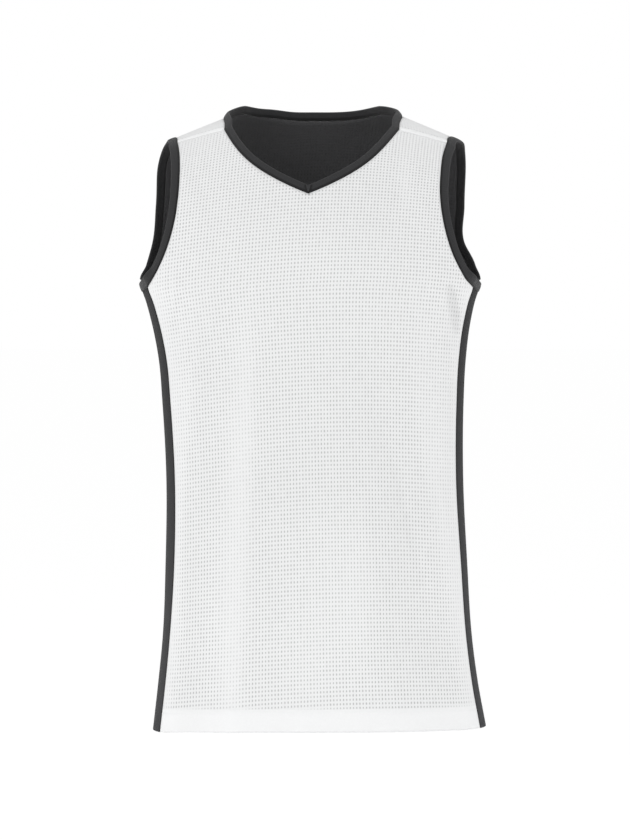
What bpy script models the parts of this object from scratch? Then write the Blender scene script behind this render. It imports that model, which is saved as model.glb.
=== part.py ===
"""Reversible basketball jersey, sleeveless, with a V neck, filled out as when it is worn.

Every piece of cloth follows one hollow form. Below the armpits the form is a stack of rounded
sections. Above them it arches over the shoulders, from the armpit level at the front, over the
crest, down to the armpit level at the back. A place on the form is given by

  around  distance round the section from the centre line of that side, in chest half widths,
          negative towards the viewer's left
  rise    distance up the cloth from the armpit level in metres, negative below it
  side    FRONT or BACK, the side from which the rise starts

Units are metres. The front faces -Y and +Z is up. The origin is midway between the undersides of
the two shoulder straps, where the wearer's shoulders carry the garment.
"""

import math

import bpy
import numpy as np

FRONT, BACK = -1, 1
LEFT, RIGHT = -1, 1

# Heights and widths of the form.
HEM_Z = -0.7042
ARMPIT_Z = -0.189
CHEST_HALF_WIDTH = 0.200
CREST_Z = 0.0587
SHOULDER_SLOPE = 0.42
CREST_ROUNDING = 0.15
BODY_POWER = 2.4
SHOULDER_POWER = 2.15
FRONT_ARCH_POWER = 1.9
BACK_ARCH_POWER = 2.3
DEPTH_RATIO = 0.60

# One row for each section of the form, hem first. half_width, front and back are the section's
# reach from its middle, and shift_x and shift_y move that middle. left_seam and right_seam are the
# distances round the section from the side line to the two front side seams.
SECTION_COLUMNS = (
    "z", "half_width", "shift_x", "shift_y", "front", "back", "left_seam", "right_seam"
)
SECTIONS = (
    (-0.712, 0.1974, 0.0079, 0.000, 0.118, 0.112, 0.0491, 0.0455),
    (-0.653, 0.1886, 0.0058, 0.000, 0.116, 0.110, 0.0478, 0.0440),
    (-0.606, 0.1831, 0.0050, 0.000, 0.114, 0.107, 0.0466, 0.0429),
    (-0.511, 0.1780, 0.0038, 0.000, 0.110, 0.102, 0.0504, 0.0441),
    (-0.417, 0.1752, 0.0020, 0.000, 0.108, 0.100, 0.0496, 0.0460),
    (-0.323, 0.1777, -0.0002, 0.000, 0.111, 0.104, 0.0491, 0.0463),
    (-0.275, 0.1809, -0.0010, 0.001, 0.114, 0.109, 0.0492, 0.0471),
    (-0.228, 0.1884, -0.0026, 0.002, 0.118, 0.114, 0.0494, 0.0474),
    (-0.205, 0.1941, -0.0032, 0.003, 0.120, 0.117, 0.0492, 0.0475),
    (-0.189, 0.1994, -0.0034, 0.004, 0.121, 0.119, 0.0489, 0.0477),
    (-0.176, 0.2010, -0.0032, 0.005, 0.122, 0.120, 0.0489, 0.0477),
    (-0.140, 0.2000, -0.0040, 0.006, 0.123, 0.122, 0.0489, 0.0477),
    (-0.035, 0.2000, -0.0028, 0.008, 0.123, 0.121, 0.0489, 0.0477),
    (0.030, 0.2000, 0.0000, 0.008, 0.122, 0.120, 0.0489, 0.0477),
)

# The half width of the panels at each armhole's edge: 0 degrees is the armpit level at the front,
# 90 is the crest of the shoulder and 180 is the armpit level at the back.
ARMHOLE_COLUMNS = ("arch_angle", "left", "right")
ARMHOLE = (
    (3.0, 0.1829, 0.1800),
    (6.5, 0.1776, 0.1744),
    (10.0, 0.1724, 0.1692),
    (16.0, 0.1653, 0.1630),
    (26.0, 0.1573, 0.1557),
    (36.0, 0.1536, 0.1520),
    (48.0, 0.1523, 0.1520),
    (60.0, 0.1533, 0.1542),
    (71.0, 0.1561, 0.1583),
    (81.0, 0.1583, 0.1610),
    (90.0, 0.1593, 0.1647),
    (101.0, 0.1613, 0.1705),
    (113.0, 0.1669, 0.1727),
    (127.0, 0.1724, 0.1751),
    (147.0, 0.1752, 0.1762),
    (164.0, 0.1813, 0.1788),
    (173.0, 0.1892, 0.1911),
)

# The neck edge of the panels. The V runs from its tip up to the shoulder seams.
V_TIP_Z = -0.0794
V_TOP_Z = 0.0086
V_TOP_HALF_WIDTH = 0.1180
V_POWERS = (1.09, 1.62)
V_SHIFT = -0.0018
NECK_HALF_WIDTH = 0.1025
BACK_NECK_ANGLE = 126.0
BACK_NECK_HALF_WIDTH = 0.1029
BACK_NECK_POWERS = (2.13, 3.90)
NECK_SWELL = {LEFT: 0.0089, RIGHT: 0.0104}
NECK_SWELL_START = 0.80

# The shoulder seams lie forward of the crest, at these arch angles.
SEAM_ANGLE_AT_NECK = 68.2
SEAM_ANGLE_AT_ARM = 74.2
SEAM_BAND_WIDTH = 0.0040
SEAM_BAND_INSET = 0.0001

# Side panels, measured round the section from seam to seam, and their dip under the arm.
SIDE_PANEL_WIDTH = 0.0865
ARMHOLE_DIP = 0.0062

# The hem hangs lower towards the side seams. Rows above HEM_DROP_TOP stay level.
HEM_DROP = {LEFT: 0.0062, RIGHT: 0.0018}
HEM_DROP_POWER = 2.6
HEM_DROP_TOP = -0.50

# Layers of cloth. Each pair is the outer and inner face, measured out from the form.
SEAM_GAP = 0.0003
MESH_LAYER = (0.0, -0.0012)
INNER_LAYER = (-0.0015, -0.0026)
BOTH_LAYERS = (0.0, -0.0026)
HEM_HEIGHT = 0.0260
HEM_STEP = 0.0025
HEM_EXTRA = 0.0008

# Bindings: width, outer and inner face, the fold of the free edge, and the angle at which the
# neck binding stands up from the cloth at the shoulders and the back.
NECK_BINDING_WIDTH = 0.0105
ARMHOLE_BINDING_WIDTH = 0.0120
BINDING_FACES = (0.0003, -0.0027)
BINDING_FOLD = 0.0014
NECK_STAND = 30.0

# The tongue at the V, where one end of the neck binding lies over the other.
TONGUE_WIDTH = 0.0086
TONGUE_LENGTH = 0.0096
TONGUE_THICKNESS = 0.0010
TONGUE_GAP = 0.0009
TONGUE_ARC_STEPS = 6

# Folds are soft ridges and troughs, each along a line from its top to its low end.
FOLD_COLUMNS = ("side", "top_x", "top_z", "low_x", "low_z", "reach", "height")
FOLDS = (
    (FRONT, -0.082, -0.150, -0.104, -0.860, 0.022, 0.0040),
    (FRONT, -0.128, -0.130, -0.160, -0.560, 0.018, 0.0035),
    (FRONT, -0.128, -0.330, -0.140, -0.820, 0.024, -0.0030),
    (FRONT, 0.052, -0.230, 0.156, -0.800, 0.026, -0.0045),
    (FRONT, 0.122, -0.130, 0.164, -0.640, 0.018, 0.0040),
    (FRONT, 0.152, -0.110, 0.158, -0.290, 0.014, -0.0030),
    (FRONT, 0.010, -0.380, -0.020, -0.860, 0.034, 0.0025),
    (FRONT, 0.105, 0.000, 0.112, -0.130, 0.012, 0.0020),
    (FRONT, -0.150, 0.010, -0.108, -0.130, 0.012, -0.0020),
    (BACK, -0.075, -0.120, -0.120, -0.840, 0.024, 0.0045),
    (BACK, 0.085, -0.090, 0.104, -0.820, 0.022, 0.0040),
    (BACK, 0.020, -0.260, -0.015, -0.860, 0.034, -0.0040),
    (BACK, -0.130, -0.060, -0.150, -0.520, 0.018, -0.0030),
    (BACK, 0.135, -0.080, 0.158, -0.600, 0.020, -0.0035),
    (BACK, -0.052, 0.020, -0.128, -0.110, 0.016, 0.0020),
)
FOLD_CLEARANCE = (0.056, 0.045)

# Mesh densities, and where the foot of a strap meets the neck edge.
STRAP_COLUMNS = 5
NECK_COLUMNS = 16
SIDE_COLUMNS = 4
BODY_ROWS = 10
CHEST_ROWS = {FRONT: 8, BACK: 9}
STRAP_ROWS = {FRONT: 5, BACK: 6}
STRAP_FOOT_HALF_WIDTH = {FRONT: 0.074, BACK: 0.082}
DENSE = 400
TABLE_STEPS = 4000
NUDGE = 0.0005

# Colours and finishes.
WHITE_MESH = ((0.84, 0.85, 0.86, 1.0), 0.70)
WHITE_SEAM = ((0.88, 0.89, 0.90, 1.0), 0.60)
BLACK_CLOTH = ((0.018, 0.018, 0.019, 1.0), 0.75)
CHARCOAL = ((0.045, 0.045, 0.048, 1.0), 0.65)


# Tables and curves.


def column(table, names, name):
    return np.array([row[names.index(name)] for row in table])


def smooth_curve(knots, values, at):
    """Cubic through the knots with averaged slopes, held level past both ends."""
    slopes = np.gradient(values, knots)
    at = np.clip(at, knots[0], knots[-1])
    low = np.clip(np.searchsorted(knots, at, side="right") - 1, 0, len(knots) - 2)
    span = knots[low + 1] - knots[low]
    part = (at - knots[low]) / span
    start_weight = 2 * part**3 - 3 * part**2 + 1
    bends = slopes[low] * (part**3 - 2 * part**2 + part) + slopes[low + 1] * (part**3 - part**2)
    return values[low] * start_weight + values[low + 1] * (1 - start_weight) + span * bends


def section(name, z):
    """Value of one column of SECTIONS at the height z."""
    heights = column(SECTIONS, SECTION_COLUMNS, "z")
    return smooth_curve(heights, column(SECTIONS, SECTION_COLUMNS, name), z)


def smooth_step(value):
    value = np.clip(value, 0, 1)
    return value * value * (3 - 2 * value)


def section_quarter():
    """A quarter of the section, as distance round it, share of half width, share of depth."""
    angle = np.linspace(0, math.pi / 2, TABLE_STEPS)
    reach = (np.sin(angle) ** BODY_POWER + (np.cos(angle) / DEPTH_RATIO) ** BODY_POWER) ** (
        -1 / BODY_POWER
    )
    width_share = reach * np.sin(angle)
    depth_share = reach * np.cos(angle) / DEPTH_RATIO
    steps = np.hypot(np.diff(width_share), DEPTH_RATIO * np.diff(depth_share))
    return np.concatenate([[0], np.cumsum(steps)]), width_share, depth_share


QUARTER, WIDTH_SHARE, DEPTH_SHARE = section_quarter()
QUARTER_LENGTH = QUARTER[-1]


def around_at(half_width):
    """Distance round the section at a half width measured above the armpits."""
    return np.interp(half_width / CHEST_HALF_WIDTH, WIDTH_SHARE, QUARTER)


# The form.


def arch_height(around):
    """Height of the shoulder crest above the armpit level."""
    share = np.interp(np.abs(around), QUARTER, WIDTH_SHARE)
    slope = SHOULDER_SLOPE * CHEST_HALF_WIDTH
    return CREST_Z - slope * np.sqrt(share**2 + CREST_ROUNDING**2) - ARMPIT_Z


def arch_reach(angle, power):
    """Distance from the middle of a superellipse of unit half axes to its edge."""
    return (np.abs(np.cos(angle)) ** power + np.abs(np.sin(angle)) ** power) ** (-1 / power)


def rise_at_height(around, z, power):
    """Rise of the place on the arch whose height is z."""
    up = (z - ARMPIT_Z) / arch_height(around)
    in_depth = (1 - up**power) ** (1 / power)
    return np.arctan2(up, in_depth) * arch_height(around)


def fold_height(x, z, facing, around):
    """Sum of the folds at a place. A fold is highest at half its length and fades all round."""
    total = np.zeros_like(x)
    for side, top_x, top_z, low_x, low_z, reach, height in FOLDS:
        run_x, run_z = low_x - top_x, low_z - top_z
        along = ((x - top_x) * run_x + (z - top_z) * run_z) / (run_x**2 + run_z**2)
        along = np.clip(along, 0, 1)
        off = np.hypot(x - top_x - along * run_x, z - top_z - along * run_z)
        fold = height * 4 * along * (1 - along) * np.exp(-((off / reach) ** 2))
        total += np.where(facing == side, fold, 0)
    start, length = FOLD_CLEARANCE
    from_side_line = (QUARTER_LENGTH - np.abs(around)) * CHEST_HALF_WIDTH
    return total * smooth_step((from_side_line - start) / length)


def cloth(around, rise, side):
    """Points of the front or back cloth, folds included."""
    share = np.interp(np.abs(around), QUARTER, WIDTH_SHARE)
    depth = np.interp(np.abs(around), QUARTER, DEPTH_SHARE)
    height = arch_height(around)
    angle = np.clip(rise, 0, None) / height
    facing = np.where(angle > math.pi / 2, -side, side)
    power = np.where(facing == FRONT, FRONT_ARCH_POWER, BACK_ARCH_POWER)
    reach = arch_reach(angle, power)
    z = ARMPIT_Z + np.where(rise < 0, rise, height * reach * np.sin(angle))
    rounder = (1 - share**SHOULDER_POWER) ** (1 / SHOULDER_POWER)
    depth = depth + (rounder - depth) * smooth_step(2 * angle / math.pi)
    full = np.where(facing == FRONT, section("front", z), section("back", z))
    x = section("shift_x", z) + np.sign(around) * share * section("half_width", z)
    folded = fold_height(x, z, facing, around)
    out = full * depth * reach * np.abs(np.cos(angle)) + folded
    return np.stack([x, section("shift_y", z) + facing * out, z], axis=-1)


def side_cloth(across, z, end):
    """Points of a side panel. across is the distance from the side line, negative to the front."""
    half_width = section("half_width", z)
    around = QUARTER_LENGTH - np.abs(across) / half_width
    full = np.where(across < 0, section("front", z), section("back", z))
    x = section("shift_x", z) + end * half_width * np.interp(around, QUARTER, WIDTH_SHARE)
    y = section("shift_y", z) + np.sign(across) * full * np.interp(around, QUARTER, DEPTH_SHARE)
    return np.stack([x, y, z], axis=-1)


def unit(vectors):
    return vectors / np.linalg.norm(vectors, axis=-1, keepdims=True)


def cloth_and_normals(around, rise, side):
    turn = NUDGE / CHEST_HALF_WIDTH
    sideways = cloth(around + turn, rise, side) - cloth(around - turn, rise, side)
    upwards = cloth(around, rise + NUDGE, side) - cloth(around, rise - NUDGE, side)
    return cloth(around, rise, side), unit(-side * np.cross(sideways, upwards))


def side_cloth_and_normals(across, z, end):
    backwards = side_cloth(across + NUDGE, z, end) - side_cloth(across - NUDGE, z, end)
    upwards = side_cloth(across, z + NUDGE, end) - side_cloth(across, z - NUDGE, end)
    return side_cloth(across, z, end), unit(end * np.cross(backwards, upwards))


# Outlines of the panels, as (around, rise) pairs.


def side_panel_edge(side, end, z):
    """Distance of the side seam from the side line, round the section."""
    front = section("left_seam" if end == LEFT else "right_seam", z)
    return front if side == FRONT else SIDE_PANEL_WIDTH - front


def side_seam_around(side, end, z):
    from_side_line = side_panel_edge(side, end, z) + SEAM_GAP / 2
    return end * (QUARTER_LENGTH - from_side_line / section("half_width", z))


def body_heights():
    """Heights of the rows below the armpits. Two close rows stand at the top of the hem."""
    above_hem = np.linspace(HEM_Z + HEM_HEIGHT + HEM_STEP, ARMPIT_Z, BODY_ROWS + 1)
    return np.concatenate([[HEM_Z, HEM_Z + HEM_HEIGHT], above_hem])


def hem_drop(heights, from_centre):
    """How far a row hangs below its level, at a share of the way from the centre line to a side
    seam, negative to the left. It grows as a power of that share, and down to the hem's top."""
    drop = np.where(from_centre < 0, HEM_DROP[LEFT], HEM_DROP[RIGHT])
    down = (HEM_DROP_TOP - heights) / (HEM_DROP_TOP - HEM_Z - HEM_HEIGHT)
    return drop * np.abs(from_centre) ** HEM_DROP_POWER * smooth_step(down)


def evenly_spaced(around, rise, side, count):
    """The same edge, with count stretches of equal length."""
    steps = np.linalg.norm(np.diff(cloth(around, rise, side), axis=0), axis=1)
    length = np.concatenate([[0], np.cumsum(steps)])
    at = np.linspace(0, length[-1], count + 1)
    return np.array([np.interp(at, length, around), np.interp(at, length, rise)])


def armhole_around(angle, side, end):
    """Armhole edge at an arch angle in degrees, which counts from the armpit of that side."""
    corner = abs(side_seam_around(side, end, ARMPIT_Z))
    angles = column(ARMHOLE, ARMHOLE_COLUMNS, "arch_angle")
    arounds = around_at(column(ARMHOLE, ARMHOLE_COLUMNS, "left" if end == LEFT else "right"))
    angles = np.concatenate([[0], angles, [180]])
    arounds = np.concatenate([[corner], arounds, [corner]])
    return end * smooth_curve(angles, arounds, angle if side == FRONT else 180 - angle)


def seam_rise(around, side, neck_around, arm_around):
    """Rise of the panel's edge at the shoulder seam, clear of the seam's band."""
    part = (np.abs(around) - neck_around) / (arm_around - neck_around)
    angle = np.radians(SEAM_ANGLE_AT_NECK + (SEAM_ANGLE_AT_ARM - SEAM_ANGLE_AT_NECK) * part)
    angle = angle if side == FRONT else math.pi - angle
    middle = angle * arch_height(around)
    step = cloth(around, middle + NUDGE, side) - cloth(around, middle - NUDGE, side)
    stretch = np.linalg.norm(step, axis=-1) / (2 * NUDGE)
    return middle - (SEAM_BAND_WIDTH / 2 + SEAM_GAP) / stretch


def seam_edge(side, end):
    """Shoulder seam edge of a panel, from the armhole to the neck."""
    arm_around = abs(armhole_around(SEAM_ANGLE_AT_ARM, FRONT, end))
    neck_around = around_at(NECK_HALF_WIDTH)
    around = np.linspace(arm_around, neck_around, STRAP_COLUMNS + 1)
    return np.array([end * around, seam_rise(around, side, neck_around, arm_around)])


def armhole_edge(side, end):
    """Armhole edge of a panel, from the armpit up to the shoulder seam."""
    corner_around, corner_rise = seam_edge(side, end)[:, 0]
    last_angle = math.degrees(corner_rise / arch_height(corner_around))
    angle = np.linspace(0, last_angle, DENSE)
    around = armhole_around(angle, side, end)
    around += (corner_around - around[-1]) * (angle / last_angle) ** 2
    rows = CHEST_ROWS[side] + STRAP_ROWS[side]
    return evenly_spaced(around, np.radians(angle) * arch_height(around), side, rows)


def neck_curve(half_width, corner_rise, side):
    """Rise of the neck edge at each half width, before it is fitted to the seam's corner."""
    if side == FRONT:
        power, outer_power = V_POWERS
        share = (1 - (half_width / V_TOP_HALF_WIDTH) ** power) ** (1 / outer_power)
        z = V_TOP_Z + (V_TIP_Z - V_TOP_Z) * share
        return rise_at_height(around_at(half_width), z, FRONT_ARCH_POWER)
    power, outer_power = BACK_NECK_POWERS
    share = (1 - (half_width / BACK_NECK_HALF_WIDTH) ** power) ** (1 / outer_power)
    middle = math.radians(180 - BACK_NECK_ANGLE) * arch_height(0.0)
    return corner_rise + (middle - corner_rise) * share


def neck_edges(side):
    """Right half of the neck edge: its run over the chest or back, and its run up the strap."""
    corner_rise = seam_edge(side, RIGHT)[1, -1]
    half_width = NECK_HALF_WIDTH * np.sin(np.linspace(0, math.pi / 2, DENSE))
    rise = neck_curve(half_width, corner_rise, side)
    to_corner = (half_width / NECK_HALF_WIDTH) ** 6
    rise += (corner_rise - rise[-1]) * to_corner
    around = around_at(half_width)
    over = half_width <= STRAP_FOOT_HALF_WIDTH[side]
    up = half_width >= half_width[over][-1]
    across = evenly_spaced(around[over], rise[over], side, NECK_COLUMNS // 2)
    return across, evenly_spaced(around[up], rise[up], side, STRAP_ROWS[side])


def mirrored(edge):
    return edge * [[-1], [1]]


def shifted(edge, side):
    """The front's V moved a little to one side, or the back's edge swelled out at the shoulders.

    The V's shift fades out towards its top. The swell starts at a share of the neck's half width
    and is back to nothing at the shoulder seam.
    """
    share = np.abs(edge[0]) / around_at(NECK_HALF_WIDTH)
    if side == FRONT:
        moved = V_SHIFT * (1 - share**8)
    else:
        part = np.clip((share - NECK_SWELL_START) / (1 - NECK_SWELL_START), 0, 1)
        height = np.where(edge[0] < 0, -NECK_SWELL[LEFT], NECK_SWELL[RIGHT])
        moved = height * 6.75 * part**2 * (1 - part)
    return edge + np.array([moved / CHEST_HALF_WIDTH, 0 * share])


# Grids of points with their normals, rows from the hem up.


def share_of_rise(edge):
    return (edge[1] - edge[1, 0]) / (edge[1, -1] - edge[1, 0])


def between_edges(bottom, top, left, right):
    """Patch of (around, rise) pairs between four edges, with the rows spaced as the sides are."""
    across = np.linspace(0, 1, bottom.shape[1])[None, :]
    left_part, right_part = share_of_rise(left), share_of_rise(right)
    steps = (1 - across) * left_part[:, None] + across * right_part[:, None]
    patches = []
    for low, high, start, end in zip(bottom, top, left, right):
        ruled = (1 - steps) * low + steps * high
        start_off = start - (1 - left_part) * start[0] - left_part * start[-1]
        end_off = end - (1 - right_part) * end[0] - right_part * end[-1]
        patches.append(ruled + (1 - across) * start_off[:, None] + across * end_off[:, None])
    return np.array(patches)


def body_block(side):
    """The panel below the armpits. Its rows are level but for the drop of the hem."""
    columns = 2 * STRAP_COLUMNS + NECK_COLUMNS
    share = np.linspace(0, 1, columns + 1)[None, :]
    heights = body_heights()[:, None]
    left_seam = side_seam_around(side, LEFT, heights - hem_drop(heights, LEFT))
    right_seam = side_seam_around(side, RIGHT, heights - hem_drop(heights, RIGHT))
    around = left_seam + share * (right_seam - left_seam)
    return np.array([around, heights - hem_drop(heights, 2 * share - 1) - ARMPIT_Z])


def strap_foot(armhole, neck):
    """Line across the foot of a strap, from the armhole to the neck edge."""
    share = np.linspace(0, 1, STRAP_COLUMNS + 1)
    return armhole[:, None] + share * (neck - armhole)[:, None]


def panel_grid(side):
    """(points, normals) of the front or back. Places inside the neck opening are NaN."""
    chest_rows = CHEST_ROWS[side]
    body = body_block(side)
    neck_half, strap_side = neck_edges(side)
    neck = np.concatenate([mirrored(neck_half)[:, :0:-1], neck_half], axis=1)
    neck = shifted(neck, side)
    left_up, right_up = shifted(mirrored(strap_side), side), shifted(strap_side, side)
    left, right = armhole_edge(side, LEFT), armhole_edge(side, RIGHT)
    left_foot = strap_foot(left[:, chest_rows], left_up[:, 0])
    right_foot = strap_foot(right[:, chest_rows], right_up[:, 0])[:, ::-1]
    top = np.concatenate([left_foot[:, :-1], neck, right_foot[:, 1:]], axis=1)
    sides = left[:, : chest_rows + 1], right[:, : chest_rows + 1]
    chest = between_edges(body[:, -1], top, *sides)
    left_seam, right_seam = seam_edge(side, LEFT), seam_edge(side, RIGHT)[:, ::-1]
    left_strap = between_edges(left_foot, left_seam, left[:, chest_rows:], left_up)
    right_strap = between_edges(right_foot, right_seam, right_up, right[:, chest_rows:])
    opening = np.full((2, STRAP_ROWS[side] + 1, NECK_COLUMNS - 1), np.nan)
    straps = np.concatenate([left_strap, opening, right_strap], axis=2)
    around, rise = np.concatenate([body, chest[:, 1:], straps[:, 1:]], axis=1)
    return cloth_and_normals(around, rise, side)


def side_panel_grid(end):
    """(points, normals) of a side panel, columns from the front seam to the back seam."""
    share = np.linspace(0, 1, SIDE_COLUMNS + 1)[None, :]
    heights = body_heights()[:, None]
    heights = heights - hem_drop(heights, end)
    front = -side_panel_edge(FRONT, end, heights) + SEAM_GAP / 2
    back = side_panel_edge(BACK, end, heights) - SEAM_GAP / 2
    across = front + share * (back - front)
    dip = ARMHOLE_DIP * 4 * share * (1 - share)
    level = body_heights()[-3]
    z = heights - dip * smooth_step((heights - level) / (ARMPIT_Z - level))
    return side_cloth_and_normals(across, z, end)


def loop_around(*edges):
    """Joins the points and normals of several edges into one closed run."""
    return [np.concatenate(parts) for parts in zip(*edges)]


def neck_run(grid, side):
    """The neck edge of one array of a panel's grid, from its left corner to its right one."""
    foot = -1 - STRAP_ROWS[side]
    left_up = grid[:foot:-1, STRAP_COLUMNS]
    across = grid[foot, STRAP_COLUMNS : STRAP_COLUMNS + NECK_COLUMNS + 1]
    right_up = grid[foot + 1 :, STRAP_COLUMNS + NECK_COLUMNS]
    return np.concatenate([left_up, across, right_up])


def neck_loop(front, back):
    """Points and normals round the neck: down and up the V, then round the back."""
    front_edge = [neck_run(grid, FRONT) for grid in front]
    back_edge = [neck_run(grid, BACK)[::-1] for grid in back]
    return loop_around(front_edge, back_edge)


def armhole_loop(front, back, side_panel, end):
    """Points and normals round an armhole: up the front, down the back and under the arm."""
    outer = 0 if end == LEFT else -1
    first = len(body_heights()) - 1
    front_edge = [grid[first:, outer] for grid in front]
    back_edge = [grid[first:, outer][::-1] for grid in back]
    under_arm = [grid[-1, 1:-1][::-1] for grid in side_panel]
    return loop_around(front_edge, back_edge, under_arm)


# Solids.


def plain_material(name, finish):
    colour, roughness = finish
    material = bpy.data.materials.new(name)
    material.use_nodes = True
    shader = material.node_tree.nodes["Principled BSDF"]
    shader.inputs["Base Color"].default_value = colour
    shader.inputs["Roughness"].default_value = roughness
    shader.inputs["Metallic"].default_value = 0.0
    material.diffuse_color = colour
    return material


def add_solid(name, points, faces, finish):
    mesh = bpy.data.meshes.new(name)
    mesh.from_pydata([tuple(point) for point in points], [], faces)
    mesh.materials.append(plain_material(name, finish))
    mesh.shade_smooth()
    mesh.set_sharp_from_angle(angle=math.radians(40))
    solid = bpy.data.objects.new(name, mesh)
    bpy.context.scene.collection.objects.link(solid)
    return solid


def facing_out(faces, points, normals):
    """The faces, turned round if their first one points against its normal."""
    first, second, last = faces[0][0], faces[0][1], faces[0][-1]
    turned = np.cross(points[second] - points[first], points[last] - points[first])
    return faces if turned @ normals[first] > 0 else [face[::-1] for face in faces]


def wall(name, grid, layer, finish, hem_extra=0.0):
    """Cloth between two faces of a layer, closed all round its edges.

    Every layer splits its squares along the same diagonal, so layers keep their distance.
    """
    points, normals = grid
    rows, columns = points.shape[:2]
    present = np.isfinite(points[:, :, 0])
    outer_reach = np.full((rows, 1, 1), layer[0])
    outer_reach[:2] += hem_extra
    outer = (points + normals * outer_reach)[present]
    inner = (points + normals * layer[1])[present]
    count = len(outer)
    index = np.full((rows, columns), -1)
    index[present] = np.arange(count)
    corners = [index[:-1, :-1], index[:-1, 1:], index[1:, 1:], index[1:, :-1]]
    quads = np.stack(corners, axis=-1).reshape(-1, 4)
    quads = quads[(quads >= 0).all(axis=1)]
    outside = np.concatenate([quads[:, [0, 1, 2]], quads[:, [0, 2, 3]]]).tolist()
    inside = [[corner + count for corner in reversed(face)] for face in outside]
    edges = {(face[i], face[(i + 1) % 3]) for face in outside for i in range(3)}
    open_edges = sorted(edge for edge in edges if edge[::-1] not in edges)
    rim = [[b, a, a + count, b + count] for a, b in open_edges]
    solid_points = np.concatenate([outer, inner])
    faces = facing_out(outside + inside + rim, solid_points, normals[present])
    return add_solid(name, solid_points, faces, finish)


def mitred(points, normals, inside):
    """Direction in the cloth, square to the edge, that points towards inside from each point.

    At a corner it is longer, so that a strip laid along it keeps its width.
    """
    before = unit(points - np.roll(points, 1, axis=0))
    after = unit(np.roll(points, -1, axis=0) - points)
    first = unit(np.cross(normals, before))
    second = unit(np.cross(normals, after))
    towards = np.sign(np.sum((inside - points) * first, axis=-1).sum())
    overlap = np.sum(first * second, axis=-1, keepdims=True)
    return towards * (first + second) / (1 + overlap)


def binding(name, loop, width, stand, finish):
    """A folded strip carried round a closed edge, from the seam into the opening."""
    points, normals = loop
    across = mitred(points, normals, points.mean(axis=0))
    stand = stand[:, None]
    leaning = across * np.cos(stand) + normals * np.sin(stand)
    square = normals * np.cos(stand) - across * np.sin(stand)
    outer, inner = BINDING_FACES
    profile = (
        (SEAM_GAP, inner),
        (SEAM_GAP, outer),
        (width / 2, outer + SEAM_GAP),
        (width - BINDING_FOLD, outer),
        (width, outer - BINDING_FOLD),
        (width - BINDING_FOLD / 2, inner),
    )
    rings = [points + leaning * reach + square * lift for reach, lift in profile]
    solid_points = np.stack(rings, axis=1).reshape(-1, 3)
    count, sides = len(points), len(profile)
    index = np.arange(count * sides).reshape(count, sides)
    following = np.roll(index, -1, axis=0)
    corners = [index, following, np.roll(following, -1, axis=1), np.roll(index, -1, axis=1)]
    faces = np.stack(corners, axis=-1).transpose(1, 0, 2).reshape(-1, 4).tolist()
    faces = facing_out(faces, solid_points, np.repeat(-across, sides, axis=0))
    return add_solid(name, solid_points, faces, finish)


def neck_stand(loop):
    """Angle at which the neck binding stands up: none at the V, most from the shoulders back."""
    heights = loop[0][:, 2]
    return math.radians(NECK_STAND) * smooth_step((heights - V_TIP_Z) / (V_TOP_Z - V_TIP_Z))


def neck_overlap(name, loop, finish):
    """A tongue with a round lower end, flat on the binding at the tip of the V."""
    points, normals = loop
    tip = np.argmin(points[:, 2])
    out = normals[tip]
    sideways = unit(points[tip + 1] - points[tip - 1])
    upwards = np.cross(sideways, -out)
    upwards = upwards * np.sign(upwards[2])
    top = points[tip] + upwards * (NECK_BINDING_WIDTH + SEAM_GAP)
    radius = TONGUE_WIDTH / 2
    turn = np.linspace(0, math.pi, TONGUE_ARC_STEPS + 1)
    low = -np.sin(turn) * radius - (TONGUE_LENGTH - radius)
    along = np.concatenate([[0.0], low, [0.0]])
    beside = np.concatenate([[radius], np.cos(turn) * radius, [-radius]])
    flat = top + beside[:, None] * sideways + along[:, None] * upwards
    lift = BINDING_FACES[0] + TONGUE_GAP
    outer = flat + out * (lift + TONGUE_THICKNESS)
    inner = flat + out * lift
    count = len(flat)
    ring = list(range(count))
    sides = [[i, i + count, (i + 1) % count + count, (i + 1) % count] for i in ring]
    faces = [ring, [i + count for i in reversed(ring)]] + sides
    face_normal = np.cross(flat[1] - flat[0], flat[2] - flat[0])
    if face_normal @ out < 0:
        faces = [face[::-1] for face in faces]
    return add_solid(name, np.concatenate([outer, inner]), faces, finish)


def seam_band(name, front, back, end, finish):
    """Smooth raised band in the shoulder seam, between the edges of the front and the back."""
    strap = slice(0, STRAP_COLUMNS + 1) if end == LEFT else slice(-STRAP_COLUMNS - 1, None)
    front_edge, front_normal = (grid[-1, strap] for grid in front)
    back_edge, back_normal = (grid[-1, strap] for grid in back)
    over = unit(back_edge - front_edge) * SEAM_GAP
    near, far = front_edge + over, back_edge - over
    normal = unit(front_normal + back_normal)
    middle = (near + far) / 2 + normal * SEAM_GAP
    points = np.stack([near, middle, far])
    inset = unit(points[:, 1] - points[:, 0]) * SEAM_BAND_INSET
    points[:, 0] += inset
    points[:, -1] -= inset
    normals = np.stack([front_normal, normal, back_normal])
    return wall(name, (points, normals), (SEAM_GAP, BOTH_LAYERS[1]), finish)


def clear_scene():
    for thing in list(bpy.data.objects):
        bpy.data.objects.remove(thing, do_unlink=True)


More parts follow.
